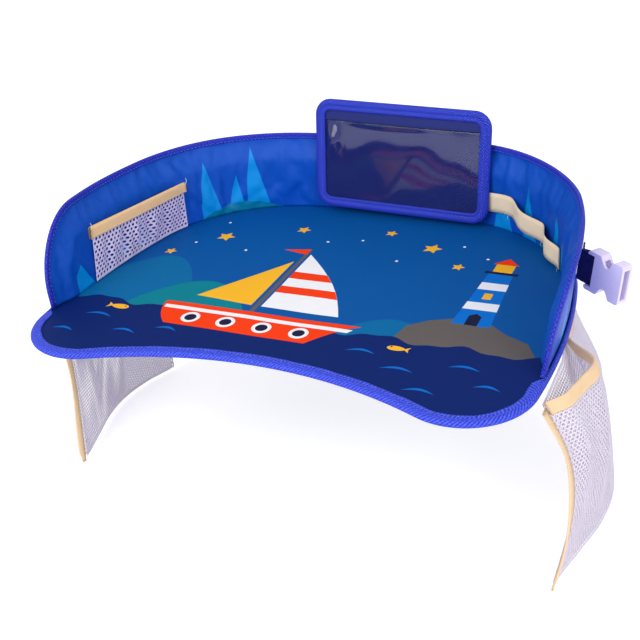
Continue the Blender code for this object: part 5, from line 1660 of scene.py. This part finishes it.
def tuck(y, level):
    """How far the pocket's top turns in under the tray, to follow its rounded side."""
    centre, radius = ARCS[2][2], ARCS[2][0]
    over = max(y - centre.y, 0.0)
    shy = radius - (radius ** 2 - over ** 2) ** 0.5
    share = 1 - smooth_step(level / POCKET_TUCK_LEVEL)
    return (shy + POCKET_TUCK * smooth_step(over / POCKET_TUCK_RUN)) * share


def pocket_point(share, level, outer, left=False):
    """A point of a pocket, as on the right: share from front to back, level from top to bottom.

    The left pocket is sewn further under the tray, starts further back and lies nearly closed.
    """
    mouth_share = POCKET_LEFT_MOUTH if left else 1.0
    middle = sin(pi * level)
    width = POCKET_LENGTH + POCKET_BOTTOM_GROWTH * level
    y = POCKET_FRONT - FRONT_TO_ORIGIN + width * share
    y += POCKET_SEAM_SWEEP * middle * (1 - share)
    z = POCKET_AXIS_Z - POCKET_DEPTH * level
    half = POCKET_SEAM / 2
    x = POCKET_AXIS_X + half + POCKET_MESH
    x += POCKET_SEAM_BOW * middle * (1 - share)
    x += POCKET_FLARE * level * smooth_table(POCKET_FLARE_SHARES, share)
    x -= tuck(y, level)
    if left:
        x -= POCKET_LEFT_IN
        y += POCKET_LEFT_BACK * (1 - share)
    belly = sin(pi * min(max(share, 0.0), 1.0))
    fold = POCKET_FOLD * sin(2 * pi * POCKET_FOLDS * share) * belly * middle
    if not outer:
        return Vector((x - half + fold * POCKET_INNER_FOLD_SHARE, y, z))
    mouth = max(smooth_table(POCKET_MOUTH_SHARES, share), 0.0) * mouth_share
    return Vector((x + half + POCKET_MOUTH * mouth * (1 - smooth_step(level)) + fold, y, z))


def mirrored(point, side):
    """The point on one side of the tray; side is 1 on the right and -1 on the left."""
    return Vector((side * point.x, point.y, point.z))


def build_side_pocket(side, word):
    """Knitted bag, the elastic over its mouth and the cream tape down its front seam."""
    size = (POCKET_LENGTH + POCKET_BOTTOM_GROWTH / 2, POCKET_DEPTH)
    left = side < 0

    # The side nets take the lighter copy of the net: painted light against the shade under the tray.
    def panel(name, outer):
        return lattice_sheet(name, POCKET_COLUMNS, POCKET_ROWS,
                             lambda u, v: mirrored(pocket_point(u, v, outer, left), side),
                             size, LIT_SIDE_NET, POCKET_HOLE, POCKET_NET_THICKNESS)

    def hold(piece, slot, *nodes):
        """The piece's place is baked into its mesh, and it stands for the nodes."""
        top = (side * POCKET_AXIS_X, 0.0, POCKET_AXIS_Z)
        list(top[:2])
        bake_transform(piece)
        return dress(piece, nodes)

    outer = hold(panel("side_net_outer_" + word, True), "pale_net", "side_pocket_net_" + word)
    inner = hold(panel("side_net_inner_" + word, False), "pale_net")

    def place_rim(i, across, inward):
        share = i / (MOUTH_STEPS - 1)
        step = 1 / (MOUTH_STEPS - 1)
        level = (inward - RIM_RISE) / POCKET_DEPTH
        here = pocket_point(share, level, True, left)
        back = here - pocket_point(share - step, level, True, left)
        ahead = pocket_point(share + step, level, True, left) - here
        if i == 0:
            back = ahead
        if i == MOUTH_STEPS - 1:
            ahead = back
        first = Vector((back.y, -back.x, 0.0)).normalized()
        second = Vector((ahead.y, -ahead.x, 0.0)).normalized()
        return mirrored(here + (first + second) * across / (1 + first.dot(second)), side)

    half_gap = POCKET_MESH / 2 + FIT_GAP
    rim = folded_band("side_rim_" + word, MOUTH_STEPS, place_rim, half_gap, ELASTIC, RIM_DEPTH, CREAM)
    hold(rim, "cream_elastic", "side_pocket_elastic_" + word)
    spots = [place_rim(i, half_gap + ELASTIC, RIM_DEPTH - MOUTH_STITCH_INSET) for i in range(MOUTH_STEPS)]
    behind = [place_rim(i, half_gap, RIM_DEPTH - MOUTH_STITCH_INSET) for i in range(MOUTH_STEPS)]
    ups = [(a - b).normalized() for a, b in zip(spots, behind)]
    hold(stitches_along("side_rim_stitches_" + word, spots, ups, MOUTH_STITCH, CREAM_THREAD), None)
    strip = hold(build_seam_tape(side, word), "cream_elastic", "side_pocket_seam_tape_" + word)


def build_seam_tape(side, word):
    """Cream tape folded over the pocket's front seam, down to its loose end."""
    rings = []
    left = side < 0
    half = STRIP_THICKNESS / 2
    for k in range(SEAM_TAPE_STEPS):
        share = k / (SEAM_TAPE_STEPS - 1)
        level = STRIP_TOP_SHARE + (1 + STRIP_TAIL / POCKET_DEPTH - STRIP_TOP_SHARE) * share
        spot = (pocket_point(0.0, level, True, left) + pocket_point(0.0, level, False, left)) / 2
        back = spot.y - POCKET_MESH / 2 - FIT_GAP
        end = smooth_step((share - STRIP_NARROWS_FROM) / (1 - STRIP_NARROWS_FROM))
        width = STRIP_WIDTH * (1 - STRIP_NARROWS * end)
        curl = STRIP_CURL * sin(share * 9) * smooth_step(share * 3)
        ring = []
        for across, inward in ((-1, 0), (1, 0), (1.15, 0.5), (1, 0.93), (0, 1), (-1, 0.93), (-1.15, 0.5)):
            x = spot.x + across * half + curl * inward
            ring.append(mirrored(Vector((x, back - inward * width, spot.z)), side))
        rings.append(ring)
    return sweep("side_seam_tape_" + word, rings, CREAM)


# Webbing

def wall_frame(place, height, side):
    """A frame on the wall's outer face: x towards the front, z up the wall."""
    along = place if side > 0 else WALL_LENGTH - place
    origin = flat_wall_point(along, height, WALL_INSET)
    front = flat_wall_point(along - side * WEBBING, height, WALL_INSET) - origin
    up = flat_wall_point(along, height + WEBBING, WALL_INSET) - origin
    x = front.normalized()
    z = (up - x * up.dot(x)).normalized()
    turn = Matrix((x, z.cross(x), z)).transposed()
    return Matrix.Translation(origin) @ turn.to_4x4()


def arc_points(centre, radius, start, end, steps):
    """Points on an arc in the plane."""
    return [centre + Vector((cos(a), sin(a))) * radius
            for a in (start + (end - start) * k / steps for k in range(steps + 1))]


def webbing_line():
    """Centre line of the right webbing: sewn to the wall, out to the bar, round it and back."""
    layer = WEBBING + FIT_GAP
    root = Vector((0.0, FIT_GAP + WEBBING / 2))
    heading = Vector((cos(WEBBING_TURN), sin(WEBBING_TURN)))
    across = Vector((-heading.y, heading.x))
    bar = root + heading * (WEBBING_STUB + LOOP_RADIUS) + across * LOOP_RADIUS
    inner = root + Vector((-layer * tan(WEBBING_TURN / 2), layer))
    join = inner + heading * layer
    back = join - bar
    start = WEBBING_TURN - pi / 2
    end = start + (atan2(back.y, back.x) - acos(LOOP_RADIUS / back.length) - start) % (2 * pi)
    wrap = arc_points(bar, LOOP_RADIUS, start, end, 14)
    first = [root - Vector((WEBBING_PATCH, 0.0)), root]
    return first + wrap + [join, inner, inner - Vector((WEBBING_PATCH / 2, 0.0))]


def strap_line():
    """Centre line of the folded strap, its y away from the wall."""
    pitch = WEBBING + STRAP_FOLD_GAP
    first = FIT_GAP + WEBBING / 2
    front = STRAP_RUN * STRAP_FRONT_SHARE
    rear = front - STRAP_RUN
    points = [Vector((front - WEBBING_PATCH - WEBBING_WIDTH / 2, first))]
    for run in range(STRAP_RUNS - 1):
        away = first + pitch * run
        end, spin = (front, -1) if run % 2 == 0 else (rear, 1)
        centre = Vector((end, away + pitch / 2))
        points += arc_points(centre, pitch / 2, -pi / 2, -pi / 2 - spin * pi, 6)
    away = first + pitch * (STRAP_RUNS - 1)
    bar = Vector((rear - STRAP_END, away + LOOP_RADIUS))
    points += arc_points(bar, LOOP_RADIUS, -pi / 2, -3 * pi / 2, 14)
    points.append(Vector((bar.x + STRAP_TAIL, bar.y + LOOP_RADIUS)))
    return points


def webbing_piece(name, line, matrix, width, thickness, finish):
    """A strip of webbing on edge along a flat line, with slightly rounded selvedges."""
    rings = []
    last = len(line) - 1
    for i, point in enumerate(line):
        before, after = line[max(i - 1, 0)], line[min(i + 1, last)]
        first = (point - before).normalized() if i > 0 else (after - point).normalized()
        second = (after - point).normalized() if i < last else first
        along = (first + second).normalized()
        reach = thickness / 2 / max(along.dot(first), 0.5)
        across = Vector((-along.y, along.x)) * reach
        ring = []
        for side, height in ((1, -0.46), (1, 0.46), (0.5, 0.5), (-0.5, 0.5), (-1, 0.46), (-1, -0.46),
                             (-0.5, -0.5), (0.5, -0.5)):
            spot = point + across * side
            ring.append(matrix @ Vector((spot.x, spot.y, height * width)))
        rings.append(ring)
    piece = sweep(name, rings, finish)
    edges = piece.modifiers.new("crisp", "EDGE_SPLIT")
    edges.split_angle = radians(40)
    return piece


def build_straps():
    """The short webbing on the right, and on the left the long strap under its keeper."""
    right = wall_frame(RIGHT_STRAP_PLACE, RIGHT_STRAP_HEIGHT, 1)
    webbing = webbing_piece("buckle_webbing", webbing_line(), right, WEBBING_WIDTH, WEBBING, WEBBING_NAVY)
    take_over(webbing, "tray", "navy_webbing", "buckle_webbing_right")
    box_stitches("buckle_webbing_stitches", right, -WEBBING_PATCH * BOX_START_SHARE,
                 WEBBING_PATCH * BOX_LENGTH_SHARE, 2 * WEBBING + FIT_GAP * 2)

    left = wall_frame(LEFT_STRAP_PLACE, LEFT_STRAP_HEIGHT, -1)
    line = [Vector((point.x, -point.y)) for point in strap_line()]
    strap = webbing_piece("folded_strap", line, left, WEBBING_WIDTH, WEBBING, WEBBING_NAVY)
    take_over(strap, "tray", "navy_webbing", "strap_webbing_left")
    build_keeper(left)


def box_stitches(name, matrix, start, length, away):
    """A stitched box that holds webbing down."""
    half = WEBBING_WIDTH * BOX_HALF_SHARE
    corners = ((start, -half), (start, half), (start + length, half), (start + length, -half), (start, -half))
    spots = [matrix @ Vector((along, away, up)) for along, up in corners]
    out = matrix.to_3x3() @ Vector((0.0, 1.0, 0.0))
    sew(name, spots, [out] * len(spots), BOX_STITCH, THREAD)


def build_keeper(matrix):
    """The loop of elastic that holds the folded strap."""
    middle = STRAP_RUN * (STRAP_FRONT_SHARE - KEEPER_PLACE_SHARE)
    near = FIT_GAP
    far = FIT_GAP * 2 + ELASTIC + (WEBBING + STRAP_FOLD_GAP) * STRAP_RUNS
    high = WEBBING_WIDTH / 2 + FIT_GAP + ELASTIC
    outer = [(near, -high), (far - KEEPER_CORNER, -high), (far, KEEPER_CORNER - high),
             (far, high - KEEPER_CORNER), (far - KEEPER_CORNER, high), (near, high)]
    rings = []
    for away, height in outer:
        inward_away = min(max(away, near + ELASTIC), far - ELASTIC)
        inward_height = min(max(height, ELASTIC - high), high - ELASTIC)
        ring = []
        for (a, h), x in (((away, height), -1), ((away, height), 1),
                          ((inward_away, inward_height), 1), ((inward_away, inward_height), -1)):
            ring.append(matrix @ Vector((middle + x * KEEPER_WIDTH / 2, -a, h)))
        rings.append(ring)
    keeper = sweep("strap_keeper_band", rings, WEBBING_NAVY, cyclic=True)
    take_over(keeper, "tray", "navy_webbing", "strap_keeper")


def dress_kept_nodes():
    """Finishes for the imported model's own nodes that stay in view."""
    plastic = ("female_buckle", "male_buckle", "latch_arm_upper", "latch_arm_lower")
    boards = ("tray_board", "wall_board", "pouch_board")
    for names, finish in ((plastic, PLASTIC), (boards, BOARD_FINISH)):
        for name in names:
            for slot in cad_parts[name].material_slots:
                slot.material = finish


# Camera, lights and floor

def build_camera():
    """A camera that sees the object as the photograph does."""
    data = bpy.data.cameras.new("camera")
    data.sensor_width = SENSOR
    data.lens = CAMERA_FOCUS_PIXELS / CAMERA_PIXELS * SENSOR
    camera = bpy.data.objects.new("camera", data)
    turn = Matrix((CAMERA_RIGHT, CAMERA_UP, CAMERA_BACK)).transposed()
    camera.matrix_world = Matrix.Translation(CAMERA_EYE) @ turn.to_4x4()
    bpy.context.scene.collection.objects.link(camera)
    bpy.context.scene.camera = camera


def soft_light(name, place, size, power):
    """A large square lamp that looks at the tray."""
    data = bpy.data.lights.new(name, "AREA")
    data.size = size
    data.energy = power
    lamp = bpy.data.objects.new(name, data)
    spot = Vector(place)
    lamp.matrix_world = Matrix.Translation(spot) @ (-spot).to_track_quat("-Z", "Y").to_matrix().to_4x4()
    bpy.context.scene.collection.objects.link(lamp)


def seen_directly(tree):
    """1 where the camera, a mirror or glass looks, else 0."""
    path = add_node(tree, "ShaderNodeLightPath")
    either = calculate(tree, "MAXIMUM", path.outputs["Is Camera Ray"], path.outputs["Is Glossy Ray"])
    return calculate(tree, "MAXIMUM", either, path.outputs["Is Transmission Ray"])


def build_stage():
    """A pale floor under the pockets, a white surround and soft lamps."""
    world = bpy.data.worlds.new("surround")
    bpy.context.scene.world = world
    world.use_nodes = True
    tree = world.node_tree
    tree.nodes.clear()
    strength = calculate(tree, "MULTIPLY_ADD", seen_directly(tree), 1 - AMBIENT, AMBIENT)
    shader = add_node(tree, "ShaderNodeBackground", {"Color": (1.0, 1.0, 1.0, 1.0), "Strength": strength})
    out = add_node(tree, "ShaderNodeOutputWorld")
    tree.links.new(shader.outputs[0], out.inputs[0])

    material, tree, shader = new_material("pale_floor", 0.9, Base_Color=(0.86, 0.86, 0.87, 1.0),
                                          Emission_Color=(1.0, 1.0, 1.0, 1.0))
    glow = calculate(tree, "MULTIPLY", seen_directly(tree), FLOOR_GLOW)
    tree.links.new(glow, shader.inputs["Emission Strength"])
    low = CAD_BOX[0][2] - FLOOR_GAP
    corners = [(x * FLOOR_SIZE, y * FLOOR_SIZE, low) for x, y in ((-1, -1), (1, -1), (1, 1), (-1, 1))]
    floor = new_piece("floor", corners, [(0, 1, 2, 3)], [material])
    for lamp in LAMPS:
        soft_light(*lamp)


build_camera()
build_stage()
build_tray()
build_wall()
build_inner_pocket()
build_pencil_band()
build_pouch()
build_side_pocket(1, "right")
build_side_pocket(-1, "left")
build_straps()
dress_kept_nodes()
bpy.context.scene.view_settings.view_transform = "Standard"
